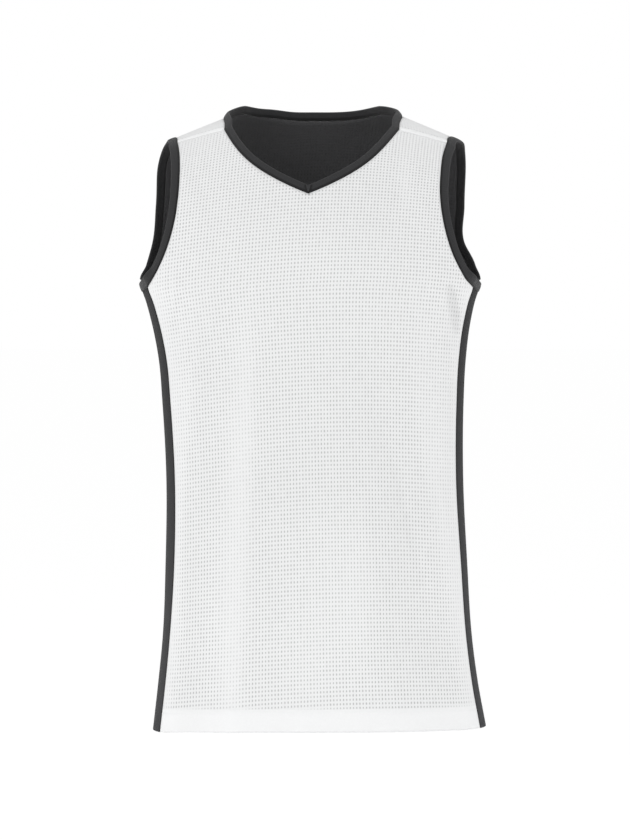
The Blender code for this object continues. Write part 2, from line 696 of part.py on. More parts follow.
def build_jersey():
    clear_scene()
    front = panel_grid(FRONT)
    back = panel_grid(BACK)
    wall("front_panel", front, MESH_LAYER, WHITE_MESH, HEM_EXTRA)
    wall("back_panel", back, MESH_LAYER, WHITE_MESH, HEM_EXTRA)
    wall("front_lining", front, INNER_LAYER, BLACK_CLOTH)
    wall("back_lining", back, INNER_LAYER, BLACK_CLOTH)
    neck = neck_loop(front, back)
    binding("neck_binding", neck, NECK_BINDING_WIDTH, neck_stand(neck), CHARCOAL)
    neck_overlap("neck_overlap", neck, CHARCOAL)
    for end, name in ((LEFT, "left"), (RIGHT, "right")):
        side_panel = side_panel_grid(end)
        wall(f"side_panel_{name}", side_panel, BOTH_LAYERS, CHARCOAL)
        armhole = armhole_loop(front, back, side_panel, end)
        flat = np.zeros(len(armhole[0]))
        binding(f"armhole_binding_{name}", armhole, ARMHOLE_BINDING_WIDTH, flat, CHARCOAL)
        seam_band(f"shoulder_seam_{name}", front, back, end, WHITE_SEAM)


build_jersey()
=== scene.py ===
"""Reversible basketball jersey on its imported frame: fine cloth, bindings, sewing and a studio.

Every piece of cloth is a surface worked out from one hollow form. Below the armpits the form is a
stack of rounded sections. Above them it arches over the shoulders, from the armpit level at the
front, over the crest, down to the armpit level at the back. A place on it is given by

  around  distance round the section from the centre line of that side, in chest half widths,
          negative towards the viewer's left
  rise    distance up the cloth from the armpit level in metres, negative below it
  side    FRONT or BACK, the side from which the rise starts

Units are metres, but millimetres in the tables of folds. The front faces -Y and +Z is up.
"""

import functools
import math

import bpy
import numpy as np
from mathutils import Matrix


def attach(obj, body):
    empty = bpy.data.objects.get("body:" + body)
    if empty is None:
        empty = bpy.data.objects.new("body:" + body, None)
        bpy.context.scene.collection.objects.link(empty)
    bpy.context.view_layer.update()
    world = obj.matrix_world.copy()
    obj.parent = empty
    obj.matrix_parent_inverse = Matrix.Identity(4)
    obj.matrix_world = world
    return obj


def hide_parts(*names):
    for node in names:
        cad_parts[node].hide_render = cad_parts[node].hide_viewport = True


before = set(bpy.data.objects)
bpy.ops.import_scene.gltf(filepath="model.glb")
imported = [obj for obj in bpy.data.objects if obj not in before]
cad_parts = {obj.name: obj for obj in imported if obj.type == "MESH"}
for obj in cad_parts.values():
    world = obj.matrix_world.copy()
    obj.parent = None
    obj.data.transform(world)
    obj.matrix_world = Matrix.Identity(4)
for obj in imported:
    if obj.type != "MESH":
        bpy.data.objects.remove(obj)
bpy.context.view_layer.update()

bl_info = {
    "name": "Basketball Jersey",
    "version": (1, 0, 0),
    "blender": (4, 5, 0),
    "location": "3D View > Sidebar > Jersey",
    "description": "Builds a reversible mesh basketball jersey, piece by piece",
    "category": "Add Mesh",
}

FRONT, BACK = -1, 1
LEFT, RIGHT = -1, 1
ENDS = ((LEFT, "left"), (RIGHT, "right"))

# The form, as it was cut.
HEM_Z = -0.7042
ARMPIT_Z = -0.189
CHEST_HALF_WIDTH = 0.200
CREST_Z = 0.0587
SHOULDER_SLOPE = 0.42
CREST_ROUNDING = 0.15
BODY_POWER = 2.4
SHOULDER_POWER = 2.15
FRONT_ARCH_POWER = 1.9
BACK_ARCH_POWER = 2.3
DEPTH_RATIO = 0.60

# One row for each section of the form, hem first. half_width, front and back are the section's
# reach from its middle, and shift_x and shift_y move that middle. left_seam and right_seam are the
# distances round the section from the side line to the two front side seams.
SECTION_COLUMNS = (
    "z", "half_width", "shift_x", "shift_y", "front", "back", "left_seam", "right_seam"
)
SECTIONS = (
    (-0.712, 0.1974, 0.0079, 0.000, 0.118, 0.112, 0.0491, 0.0455),
    (-0.653, 0.1886, 0.0058, 0.000, 0.116, 0.110, 0.0478, 0.0440),
    (-0.606, 0.1831, 0.0050, 0.000, 0.114, 0.107, 0.0466, 0.0429),
    (-0.511, 0.1780, 0.0038, 0.000, 0.110, 0.102, 0.0504, 0.0441),
    (-0.417, 0.1752, 0.0020, 0.000, 0.108, 0.100, 0.0496, 0.0460),
    (-0.323, 0.1777, -0.0002, 0.000, 0.111, 0.104, 0.0491, 0.0463),
    (-0.275, 0.1809, -0.0010, 0.001, 0.114, 0.109, 0.0492, 0.0471),
    (-0.228, 0.1884, -0.0026, 0.002, 0.118, 0.114, 0.0494, 0.0474),
    (-0.205, 0.1941, -0.0032, 0.003, 0.120, 0.117, 0.0492, 0.0475),
    (-0.189, 0.1994, -0.0034, 0.004, 0.121, 0.119, 0.0489, 0.0477),
    (-0.176, 0.2010, -0.0032, 0.005, 0.122, 0.120, 0.0489, 0.0477),
    (-0.140, 0.2000, -0.0040, 0.006, 0.123, 0.122, 0.0489, 0.0477),
    (-0.035, 0.2000, -0.0028, 0.008, 0.123, 0.121, 0.0489, 0.0477),
    (0.030, 0.2000, 0.0000, 0.008, 0.122, 0.120, 0.0489, 0.0477),
)

# The half width of the panels at each armhole's edge: 0 degrees is the armpit level at the front,
# 90 is the crest of the shoulder and 180 is the armpit level at the back.
ARMHOLE_COLUMNS = ("arch_angle", "left", "right")
ARMHOLE = (
    (3.0, 0.1843, 0.1815),
    (6.5, 0.1776, 0.1744),
    (10.0, 0.1724, 0.1692),
    (16.0, 0.1653, 0.1630),
    (26.0, 0.1573, 0.1557),
    (36.0, 0.1536, 0.1520),
    (48.0, 0.1523, 0.1520),
    (60.0, 0.1533, 0.1542),
    (71.0, 0.1561, 0.1583),
    (81.0, 0.1583, 0.1610),
    (90.0, 0.1593, 0.1647),
    (101.0, 0.1613, 0.1705),
    (113.0, 0.1669, 0.1727),
    (127.0, 0.1724, 0.1751),
    (147.0, 0.1752, 0.1762),
    (164.0, 0.1811, 0.1782),
    (173.0, 0.1886, 0.1898),
)

# The neck edge of the panels. The V runs from its tip up to the shoulder seams.
V_TIP_Z = -0.0794
V_TOP_Z = 0.0086
V_TOP_HALF_WIDTH = 0.1180
V_POWERS = (1.09, 1.62)
V_SHIFT = -0.0018
NECK_HALF_WIDTH = 0.1025
BACK_NECK_ANGLE = 126.0
BACK_NECK_HALF_WIDTH = 0.1029
BACK_NECK_POWERS = (2.13, 3.90)

# Powers by which the neck and armhole edges are fitted to the seam's corners, and by which the V's
# shift fades towards its top.
NECK_FIT_POWER = 6
ARMHOLE_FIT_POWER = 2
V_SHIFT_POWER = 8

# The back's edge swells out beside the shoulder seams, as a product of two powers whose top the
# scale brings near 1, and it rises a little to the left of its middle.
NECK_SWELL = {LEFT: 0.0089, RIGHT: 0.0104}
NECK_SWELL_START = 0.80
NECK_SWELL_SCALE = 8.6
NECK_SWELL_POWERS = (2, 1.25)
BACK_NECK_RISE = 0.0044
BACK_NECK_RISE_AT = -0.050
BACK_NECK_RISE_REACH = 0.019

# The crest of the left shoulder lies a little lower than the right one's: fully so beyond the
# second x, and between the middle two arch angles.
SHOULDER_DROP = 0.0030
SHOULDER_DROP_X = (-0.082, -0.108)
SHOULDER_DROP_ANGLES = (66.0, 86.0, 112.0, 150.0)

# The shoulder seams lie forward of the crest, at these arch angles.
SEAM_ANGLE_AT_NECK = 68.2
SEAM_ANGLE_AT_ARM = 74.2
SEAM_BAND_WIDTH = 0.0040

# Side panels, measured round the section from seam to seam, and their dip under the arm.
SIDE_PANEL_WIDTH = 0.0865
ARMHOLE_DIP = 0.0062
ARMHOLE_DIP_FOOT_Z = -0.269

# The hem stands out from the mesh with a step at its top, but for its ends at the side seams.
HEM_HEIGHT = 0.0260
HEM_TOP_Z = HEM_Z + HEM_HEIGHT
HEM_STEP = 0.0012
HEM_EXTRA = 0.0007
HEM_END_POWER = 14

# It hangs lower towards the side seams. Rows above HEM_DROP_START_Z stay level.
HEM_DROP = {LEFT: 0.0062, RIGHT: 0.0018}
HEM_DROP_POWER = 2.6
HEM_DROP_START_Z = -0.50

# Layers of cloth. Each pair is the outer face, measured out from the form, and the thickness.
SEAM_GAP = 0.0003
MESH_LAYER = (0.0, 0.0011)
INNER_LAYER = (-0.0016, 0.0010)
SIDE_LAYER = (0.0, 0.0024)
BAND_LAYER = (0.0, 0.0009)
TONGUE_LAYER = (0.0, 0.0008)

# Folds are soft ridges and troughs, each along a line from its top to its low end, for each side
# and in millimetres: x and z of the top, x and z of the low end, reach to its sides, and height.
FOLDS = {
    FRONT: (
        (-82, -150, -104, -860, 22, 4),
        (-128, -130, -160, -560, 18, 3.5),
        (-128, -330, -140, -820, 24, -3),
        (52, -230, 156, -800, 26, -4.5),
        (122, -130, 164, -640, 18, 4),
        (152, -110, 158, -290, 14, -3),
        (10, -380, -20, -860, 34, 2.5),
        (105, 0, 112, -130, 12, 2),
        (-150, 10, -108, -130, 12, -2),
    ),
    BACK: (
        (-75, -120, -120, -840, 24, 4.5),
        (85, -90, 104, -820, 22, 4),
        (20, -260, -15, -860, 34, -4),
        (-130, -60, -150, -520, 18, -3),
        (135, -80, 158, -600, 20, -3.5),
        (-52, 20, -128, -110, 16, 2),
    ),
}
# They fade in between these two distances from the side line, and out towards the crest.
FOLD_CLEARANCE = (0.056, 0.101)
CREST_FADE = 3

# Creases are finer folds, with a clearance of their own.
CREASES = {
    FRONT: (
        (70, -300, 170, -690, 7, -2),
        (38, -250, 140, -720, 8, 1.1),
        (112, -240, 160, -540, 6, 1.3),
        (157, -180, 170, -262, 7, -4.2),
        (170, -220, 176, -275, 5, 1.6),
        (-170, -125, -168, -225, 6, 1.6),
        (-157, -190, -160, -270, 7, -1.6),
        (-117, -150, -118, -250, 8, 1),
        (-73, -190, -83, -470, 12, 2.4),
        (-122, -215, -130, -400, 12, -2.4),
        (-155, -360, -157, -620, 9, 1.8),
        (-137, -300, -146, -540, 6, -1.2),
        (-78, -330, -104, -860, 11, 3),
        (-108, -420, -120, -800, 10, 1.4),
        (55, -410, 50, -660, 26, 3),
        (0, -260, -2, -440, 4, 0.9),
        (-14, -420, -12, -600, 6, -0.8),
        (102, -15, 108, -100, 6, 2),
        (92, -30, 96, -95, 6, -1.2),
        (-140, -26, -112, -92, 6, 1.4),
        (-128, -24, -98, -80, 6, -1),
    ),
    BACK: (
        (60, -240, 120, -660, 10, -2),
        (-95, -300, -120, -720, 10, 2.2),
        (157, -185, 168, -300, 7, -2.4),
        (-157, -190, -165, -320, 7, -2.2),
        (-20, -90, -60, -260, 10, 1.2),
        (30, -100, 70, -290, 10, 1.2),
        (100, -30, 120, -120, 7, -1.6),
        (0, -420, 6, -640, 8, 1.4),
        (150, -400, 154, -640, 9, 1.8),
    ),
}
CREASE_CLEARANCE = (0.048, 0.062)

# Lines of painted shade lie beside the side seams, where the mesh is drawn in, and one line of
# painted light lies on a ridge. They work on its look alone: its colour and its eyelets.
PAINTED_SHADE_AND_LIGHT_LINES = {
    FRONT: (
        (159, -180, 173, -252, 6, -7.5),
        (160, -220, 161.5, -450, 7, -5.2),
        (170, -480, 182, -620, 4, -5),
        (-173.5, -158, -171, -230, 3.5, -3),
        (-164, -150, -163.5, -232, 2.8, 5),
        (-150, -235, -153, -300, 8, -4.2),
    ),
    BACK: (
        (160, -190, 170, -300, 5, -4),
        (-163, -200, -168, -360, 5, -4),
    ),
}

# The height of a fold that counts as 1 in the mesh's look.
FOLD_UNIT = 0.004

# Area and height of the cloth in the front and back.
PANEL_SHEETS = ((FRONT, "front", 0.256, 0.75), (BACK, "back", 0.297, 0.84))

# Bindings: heights of the outer and inner face, reach and lift of the sewn edge, reach of the
# step up from it, height of the crown, and the inner face's last places as reach and height over
# that face.
BINDING_FACES = (0.0008, -0.0029)
BINDING_EDGE = (-0.0004, -0.0009)
BINDING_STEP = 0.0022
BINDING_CROWN = 0.0003
BINDING_BACK = ((0.0030, 0.0), (0.0014, 0.0003), (-0.0004, 0.0008))
# The neck binding begins to stand up at the first of these depths and stands at the second.
NECK_STAND_Y = (-0.060, 0.020)
# Heights above the armpit between which the armhole binding's directions go over from little to
# full evening out, and between which its flare comes and goes.
ARMPIT_EVENING = 0.35
ARMPIT_EVENING_UP = (0.010, 0.040)
FLARE_COMES_UP = (0.0, 0.003)
FLARE_GOES_UP = (0.004, 0.019)

# The band in a shoulder seam: height of its arch, of its ends, and its cover of either panel.
BAND_LIFT = 0.0006
BAND_END_LIFT = 0.0002
BAND_OVERLAP = 0.0011

# The tongue at the V: its size, the powers of its outline, how far it and its crown stand out, the
# powers by which the crown falls off across and down, and the half width left at the point.
TONGUE_WIDTH = 0.0084
TONGUE_LENGTH = 0.0108
TONGUE_POWERS = (1.5, 0.7)
TONGUE_LIFT = 0.0019
TONGUE_CROWN = 0.0005
CROWN_POWERS = (2, 4)
LEAST_HALF_WIDTH = 1e-5

# Stitches: the row of the grid along which they lie, their length, gap and thickness, the power
# that fills out their ends, and their height and how deep they sink, as shares of the thickness.
HEM_STITCH_ROW = 7
HEM_STITCH = (0.0027, 0.0008, 0.00045)
STITCH_POWER = 0.7
STITCH_HEIGHT_SHARE = 0.6
STITCH_SINK_SHARE = 0.15

# Rows of eyelets droop towards both sides, less so from DROOP_TOP_RISE down, and slant a little.
# Columns follow the side edges by a share of their bends. Both shift above the armpits.
ROW_DROOP = 0.5
DROOP_TOP_RISE = -0.3
ROW_SLANT = 0.05
COLUMN_FOLLOWING = 0.25
CHEST_SHIFT = 0.06

# Mesh densities, points of a binding's step, face and turn, points of an edge before it is spaced
# evenly, steps of the section's table, and rounds in which a binding's directions are evened out.
STRAP_COLUMNS = 24
NECK_COLUMNS = 72
SIDE_COLUMNS = 26
BAND_ROWS = 8
BODY_ROWS = 120
HEM_ROWS = 8
CHEST_ROWS = {FRONT: 30, BACK: 34}
STRAP_ROWS = {FRONT: 22, BACK: 28}
TONGUE_POINTS = (17, 15)
STITCH_POINTS = (7, 5)
BINDING_POINTS = (6, 5, 9)
EDGE_POINTS = 2000
TABLE_STEPS = 8000
EVENING_STEPS = 60

# Half width at which the foot of a strap meets the neck edge.
STRAP_FOOT_HALF_WIDTH = {FRONT: 0.074, BACK: 0.082}

# The small step over which slopes are measured.
NUDGE = 0.0005


# Settings that a user would change.


class JerseySizes(bpy.types.PropertyGroup):
    neck_binding_width: bpy.props.FloatProperty(
        name="Neck binding width",
        description="Width of the folded strip round the neck",
        default=0.0100,
        unit="LENGTH",
    )
    armhole_binding_width: bpy.props.FloatProperty(
        name="Armhole binding width",
        description="Width of the folded strip round each armhole",
        default=0.0120,
        unit="LENGTH",
    )
    neck_stand: bpy.props.FloatProperty(
        name="Neck stand",
        description="Angle at which the neck binding stands up at the shoulders and the back",
        default=math.radians(30.0),
        subtype="ANGLE",
    )
    armpit_flare: bpy.props.FloatProperty(
        name="Armpit flare",
        description="Angle at which the armhole bindings stand off just above the armpits",
        default=math.radians(24.0),
        subtype="ANGLE",
    )
    eyelet_across: bpy.props.FloatProperty(
        name="Eyelet spacing across",
        description="Distance between the columns of eyelets",
        default=0.00385,
        unit="LENGTH",
    )
    eyelet_up: bpy.props.FloatProperty(
        name="Eyelet spacing up",
        description="Distance between the rows of eyelets",
        default=0.00496,
        unit="LENGTH",
    )
    eyelet_size: bpy.props.FloatProperty(
        name="Eyelet size",
        description="Width of one eyelet",
        default=0.00160,
        unit="LENGTH",
    )


class JerseyColours(bpy.types.PropertyGroup):
    white: bpy.props.FloatVectorProperty(
        name="White mesh",
        description="Colour of the outer mesh",
        default=(0.885, 0.890, 0.893),
        subtype="COLOR",
    )
    black: bpy.props.FloatVectorProperty(
        name="Inner layer",
        description="Colour of the inner layer",
        default=(0.0644, 0.0644, 0.0667),
        subtype="COLOR",
    )
    charcoal: bpy.props.FloatVectorProperty(
        name="Bindings",
        description="Colour of the neck and armhole bindings",
        default=(0.0245, 0.0245, 0.026),
        subtype="COLOR",
    )
    side: bpy.props.FloatVectorProperty(
        name="Side panels",
        description="Colour of the side panels",
        default=(0.0180, 0.0180, 0.0194),
        subtype="COLOR",
    )


class JerseyStage(bpy.types.PropertyGroup):
    distance: bpy.props.FloatProperty(
        name="Camera distance",
        description="Distance of the camera from the middle of the jersey",
        default=6.0,
        unit="LENGTH",
    )
    elevation: bpy.props.FloatProperty(
        name="Camera elevation",
        description="Angle of the camera above the horizon",
        default=math.radians(2.0),
        subtype="ANGLE",
    )
    sky: bpy.props.FloatProperty(
        name="Surrounding light",
        description="Strength of the white studio round the jersey",
        default=0.76,
    )
    key: bpy.props.FloatProperty(
        name="Key light",
        description="Power of the large soft light at the front",
        default=33.0,
        unit="POWER",
    )


def settings():
    return bpy.context.scene.jersey_sizes, bpy.context.scene.jersey_colours


# Tables and curves.


def column(table, names, name):
    return np.array([row[names.index(name)] for row in table])


def smooth_curve(knots, values, at):
    """Cubic through the knots with averaged slopes, held level past both ends."""
    slopes = np.gradient(values, knots)
    at = np.clip(at, knots[0], knots[-1])
    low = np.clip(np.searchsorted(knots, at, side="right") - 1, 0, len(knots) - 2)
    span = knots[low + 1] - knots[low]
    part = (at - knots[low]) / span
    start_weight = 2 * part**3 - 3 * part**2 + 1
    bends = slopes[low] * (part**3 - 2 * part**2 + part) + slopes[low + 1] * (part**3 - part**2)
    return values[low] * start_weight + values[low + 1] * (1 - start_weight) + span * bends


def section(name, z):
    """Value of one column of SECTIONS at the height z."""
    heights = column(SECTIONS, SECTION_COLUMNS, "z")
    return smooth_curve(heights, column(SECTIONS, SECTION_COLUMNS, name), z)


def smooth_step(value):
    value = np.clip(value, 0, 1)
    return value * value * (3 - 2 * value)


def smooth_between(value, start, end):
    """Smooth step from 0 where the value is start to 1 where it is end."""
    return smooth_step((value - start) / (end - start))


def running_total(steps):
    """Length from the start to each place, given the steps between the places."""
    return np.concatenate([[0], np.cumsum(steps)])


def reach_along(first, second, power):
    """Distance from the middle of a superellipse of unit half axes to its edge, along a direction
    with these two parts."""
    return (np.abs(first) ** power + np.abs(second) ** power) ** (-1 / power)


def section_quarter():
    """A quarter of the section, as distance round it, share of half width, share of depth."""
    angle = np.linspace(0, math.pi / 2, TABLE_STEPS)
    reach = reach_along(np.sin(angle), np.cos(angle) / DEPTH_RATIO, BODY_POWER)
    width_share = reach * np.sin(angle)
    depth_share = reach * np.cos(angle) / DEPTH_RATIO
    steps = np.hypot(np.diff(width_share), DEPTH_RATIO * np.diff(depth_share))
    return running_total(steps), width_share, depth_share


QUARTER, WIDTH_SHARE, DEPTH_SHARE = section_quarter()
QUARTER_LENGTH = QUARTER[-1]


def around_at(half_width):
    """Distance round the section at a half width measured above the armpits."""
    return np.interp(half_width / CHEST_HALF_WIDTH, WIDTH_SHARE, QUARTER)


# The form.


def arch_height(around):
    """Height of the shoulder crest above the armpit level."""
    share = np.interp(np.abs(around), QUARTER, WIDTH_SHARE)
    slope = SHOULDER_SLOPE * CHEST_HALF_WIDTH
    return CREST_Z - slope * np.sqrt(share**2 + CREST_ROUNDING**2) - ARMPIT_Z


def rounded(part, power, outer_power):
    """Share of its height that a rounded outline has at a part of its half width."""
    return (1 - part**power) ** (1 / outer_power)


def rise_at_height(around, z, power):
    """Rise of the place on the arch whose height is z."""
    up = (z - ARMPIT_Z) / arch_height(around)
    return np.arctan2(up, rounded(up, power, power)) * arch_height(around)


def sum_of_lines(lines, x, z, facing):
    """Sum of the ridges and troughs of a table at each place on their side. Each has a bell's
    shape across and a parabola's along."""
    total = np.zeros_like(x)
    for side, row in ((side, row) for side in lines for row in lines[side]):
        top_x, top_z, low_x, low_z, reach, height = (number / 1000 for number in row)
        run_x, run_z = low_x - top_x, low_z - top_z
        along = ((x - top_x) * run_x + (z - top_z) * run_z) / (run_x**2 + run_z**2)
        along = np.clip(along, 0, 1)
        off = np.hypot(x - top_x - along * run_x, z - top_z - along * run_z)
        line = height * 4 * along * (1 - along) * np.exp(-((off / reach) ** 2))
        total += np.where(facing == side, line, 0)
    return total


def fold_height(x, z, facing, around):
    """Sum of the folds at a place. A fold is highest at half its length and fades all round."""
    from_side_line = (QUARTER_LENGTH - np.abs(around)) * CHEST_HALF_WIDTH
    total = np.zeros_like(x)
    for folds, clearance in ((FOLDS, FOLD_CLEARANCE), (CREASES, CREASE_CLEARANCE)):
        clear = smooth_between(from_side_line, *clearance)
        total += clear * sum_of_lines(folds, x, z, facing)
    return total


def shoulder_drop(x, angle):
    """How far the left shoulder lies below the form, most at the crest. The arch angle counts from
    the front."""
    start, full, end, gone = np.radians(SHOULDER_DROP_ANGLES)
    over = smooth_between(angle, start, full) * smooth_between(angle, gone, end)
    return SHOULDER_DROP * smooth_between(x, *SHOULDER_DROP_X) * over


def cloth(around, rise, side):
    """Points of the front or back cloth.

    Across, x is the section's share of half width. Up the arch, depth and height are the two half
    axes of a superellipse at the arch angle, and the folds are added to the depth.
    """
    share = np.interp(np.abs(around), QUARTER, WIDTH_SHARE)
    depth = np.interp(np.abs(around), QUARTER, DEPTH_SHARE)
    height = arch_height(around)
    angle = np.clip(rise, 0, None) / height
    facing = np.where(angle > math.pi / 2, -side, side)
    power = np.where(facing == FRONT, FRONT_ARCH_POWER, BACK_ARCH_POWER)
    reach = reach_along(np.cos(angle), np.sin(angle), power)
    z = ARMPIT_Z + np.where(rise < 0, rise, height * reach * np.sin(angle))
    rounder = rounded(share, SHOULDER_POWER, SHOULDER_POWER)
    depth = depth + (rounder - depth) * smooth_step(2 * angle / math.pi)
    full = np.where(facing == FRONT, section("front", z), section("back", z))
    x = section("shift_x", z) + np.sign(around) * share * section("half_width", z)
    z = z - shoulder_drop(x, angle if side == FRONT else math.pi - angle)
    level = np.abs(np.cos(angle))
    folded = fold_height(x, z, facing, around) * smooth_step(CREST_FADE * level)
    out = full * depth * reach * level + folded
    return np.stack([x, section("shift_y", z) + facing * out, z], axis=-1)


def side_cloth(across, z, end):
    """Points of a side panel. across is the distance from the side line, negative to the front."""
    half_width = section("half_width", z)
    around = QUARTER_LENGTH - np.abs(across) / half_width
    full = np.where(across < 0, section("front", z), section("back", z))
    x = section("shift_x", z) + end * half_width * np.interp(around, QUARTER, WIDTH_SHARE)
    y = section("shift_y", z) + np.sign(across) * full * np.interp(around, QUARTER, DEPTH_SHARE)
    return np.stack([x, y, z], axis=-1)


def unit(vectors):
    return vectors / np.linalg.norm(vectors, axis=-1, keepdims=True)


def surface(points_at, across, up, which, step, outwards):
    """(points, normals) of a cloth.

    The normals are square to small steps across and up. outwards is -1 where the cross product of
    the two points inwards.
    """
    sideways = points_at(across + step, up, which) - points_at(across - step, up, which)
    upwards = points_at(across, up + NUDGE, which) - points_at(across, up - NUDGE, which)
    return points_at(across, up, which), unit(outwards * np.cross(sideways, upwards))


# Outlines of the panels, as (around, rise) pairs.


def side_panel_edge(side, end, z):
    """Distance of the side seam from the side line, round the section."""
    front = section("left_seam" if end == LEFT else "right_seam", z)
    return front if side == FRONT else SIDE_PANEL_WIDTH - front


def side_seam_around(side, end, z):
    from_side_line = side_panel_edge(side, end, z) + SEAM_GAP / 2
    return end * (QUARTER_LENGTH - from_side_line / section("half_width", z))


def body_heights():
    """Heights of the rows from the hem to the armpits. Two close rows stand at the hem's top."""
    hem = np.linspace(HEM_Z, HEM_TOP_Z - HEM_STEP, HEM_ROWS + 1)
    return np.concatenate([hem, np.linspace(HEM_TOP_Z, ARMPIT_Z, BODY_ROWS - HEM_ROWS)])


def hem_drop(heights, from_centre):
    """How far a row hangs below its level, at a share of the way from the centre line to a side
    seam, negative to the left. It grows as a power of that share, and down to the hem's top."""
    drop = np.where(from_centre < 0, HEM_DROP[LEFT], HEM_DROP[RIGHT])
    down = smooth_between(heights, HEM_DROP_START_Z, HEM_TOP_Z)
    return drop * np.abs(from_centre) ** HEM_DROP_POWER * down


def evenly_spaced(around, rise, side, count):
    """The same edge, with count stretches of equal length."""
    length = running_total(np.linalg.norm(np.diff(cloth(around, rise, side), axis=0), axis=1))
    at = np.linspace(0, length[-1], count + 1)
    return np.array([np.interp(at, length, around), np.interp(at, length, rise)])


def armhole_around(angle, side, end):
    """Armhole edge at an arch angle in degrees, which counts from the armpit of that side."""
    angles = column(ARMHOLE, ARMHOLE_COLUMNS, "arch_angle")
    arounds = around_at(column(ARMHOLE, ARMHOLE_COLUMNS, "left" if end == LEFT else "right"))
    corner = abs(side_seam_around(side, end, ARMPIT_Z))
    angles = np.concatenate([[0], angles, [180]])
    arounds = np.concatenate([[corner], arounds, [corner]])
    return end * smooth_curve(angles, arounds, angle if side == FRONT else 180 - angle)


def seam_rise(around, side, neck_around, arm_around):
    """Rise of the panel's edge at the shoulder seam, clear of the seam's band."""
    part = (np.abs(around) - neck_around) / (arm_around - neck_around)
    angle = np.radians(SEAM_ANGLE_AT_NECK + (SEAM_ANGLE_AT_ARM - SEAM_ANGLE_AT_NECK) * part)
    angle = angle if side == FRONT else math.pi - angle
    middle = angle * arch_height(around)
    step = cloth(around, middle + NUDGE, side) - cloth(around, middle - NUDGE, side)
    stretch = np.linalg.norm(step, axis=-1) / (2 * NUDGE)
    return middle - (SEAM_BAND_WIDTH / 2 + SEAM_GAP) / stretch


def seam_edge(side, end):
    """Shoulder seam edge of a panel, from the armhole to the neck."""
    arm_around = abs(armhole_around(SEAM_ANGLE_AT_ARM, FRONT, end))
    neck_around = around_at(NECK_HALF_WIDTH)
    around = np.linspace(arm_around, neck_around, STRAP_COLUMNS + 1)
    return np.array([end * around, seam_rise(around, side, neck_around, arm_around)])


def armhole_edge(side, end):
    """Armhole edge of a panel, from the armpit up to the shoulder seam."""
    corner_around, corner_rise = seam_edge(side, end)[:, 0]
    last_angle = math.degrees(corner_rise / arch_height(corner_around))
    angle = np.linspace(0, last_angle, EDGE_POINTS)
    around = armhole_around(angle, side, end)
    around += (corner_around - around[-1]) * (angle / last_angle) ** ARMHOLE_FIT_POWER
    rows = CHEST_ROWS[side] + STRAP_ROWS[side]
    return evenly_spaced(around, np.radians(angle) * arch_height(around), side, rows)


def neck_curve(half_width, corner_rise, side):
    """Rise of the neck edge at each half width, before it is fitted to the seam's corner."""
    if side == FRONT:
        share = rounded(half_width / V_TOP_HALF_WIDTH, *V_POWERS)
        z = V_TOP_Z + (V_TIP_Z - V_TOP_Z) * share
        return rise_at_height(around_at(half_width), z, FRONT_ARCH_POWER)
    share = rounded(half_width / BACK_NECK_HALF_WIDTH, *BACK_NECK_POWERS)
    middle = math.radians(180 - BACK_NECK_ANGLE) * arch_height(0.0)
    return corner_rise + (middle - corner_rise) * share


def neck_edges(side):
    """Right half of the neck edge: its run over the chest or back, and its run up the strap."""
    corner_rise = seam_edge(side, RIGHT)[1, -1]
    half_width = NECK_HALF_WIDTH * np.sin(np.linspace(0, math.pi / 2, EDGE_POINTS))
    rise = neck_curve(half_width, corner_rise, side)
    to_corner = (half_width / NECK_HALF_WIDTH) ** NECK_FIT_POWER
    rise += (corner_rise - rise[-1]) * to_corner
    around = around_at(half_width)
    over = half_width <= STRAP_FOOT_HALF_WIDTH[side]
    up = half_width >= half_width[over][-1]
    across = evenly_spaced(around[over], rise[over], side, NECK_COLUMNS // 2)
    return across, evenly_spaced(around[up], rise[up], side, STRAP_ROWS[side])


def mirrored(edge):
    return edge * [[-1], [1]]


def shifted(edge, side):
    """The front's V moved a little to one side, or the back's edge swelled out at the shoulders.

    The V's shift fades out towards its top. The swell starts at a share of the neck's half width
    and is back to nothing at the shoulder seam.
    """
    share = np.abs(edge[0]) / around_at(NECK_HALF_WIDTH)
    if side == FRONT:
        moved, raised = V_SHIFT * (1 - share**V_SHIFT_POWER), 0 * share
    else:
        part = np.clip((share - NECK_SWELL_START) / (1 - NECK_SWELL_START), 0, 1)
        height = np.where(edge[0] < 0, -NECK_SWELL[LEFT], NECK_SWELL[RIGHT])
        power, outer_power = NECK_SWELL_POWERS
        moved = height * NECK_SWELL_SCALE * part**power * (1 - part) ** outer_power
        off = edge[0] * CHEST_HALF_WIDTH - BACK_NECK_RISE_AT
        raised = BACK_NECK_RISE * np.exp(-((off / BACK_NECK_RISE_REACH) ** 2))
    return edge + np.array([moved / CHEST_HALF_WIDTH, raised])


# Grids of places on the cloth, rows from the hem up.


def share_of_rise(edge):
    return (edge[1] - edge[1, 0]) / (edge[1, -1] - edge[1, 0])


def between_edges(bottom, top, left, right):
    """Patch of (around, rise) pairs between four edges, with the rows spaced as the sides are.

    Each row is ruled between bottom and top, plus what the left and right edges leave the straight
    line by, fading across.
    """
    across = np.linspace(0, 1, bottom.shape[1])[None, :]
    left_part, right_part = share_of_rise(left), share_of_rise(right)
    steps = (1 - across) * left_part[:, None] + across * right_part[:, None]
    patches = []
    for low, high, start, end in zip(bottom, top, left, right):
        ruled = (1 - steps) * low + steps * high
        start_off = start - (1 - left_part) * start[0] - left_part * start[-1]
        end_off = end - (1 - right_part) * end[0] - right_part * end[-1]
        patches.append(ruled + (1 - across) * start_off[:, None] + across * end_off[:, None])
    return np.array(patches)


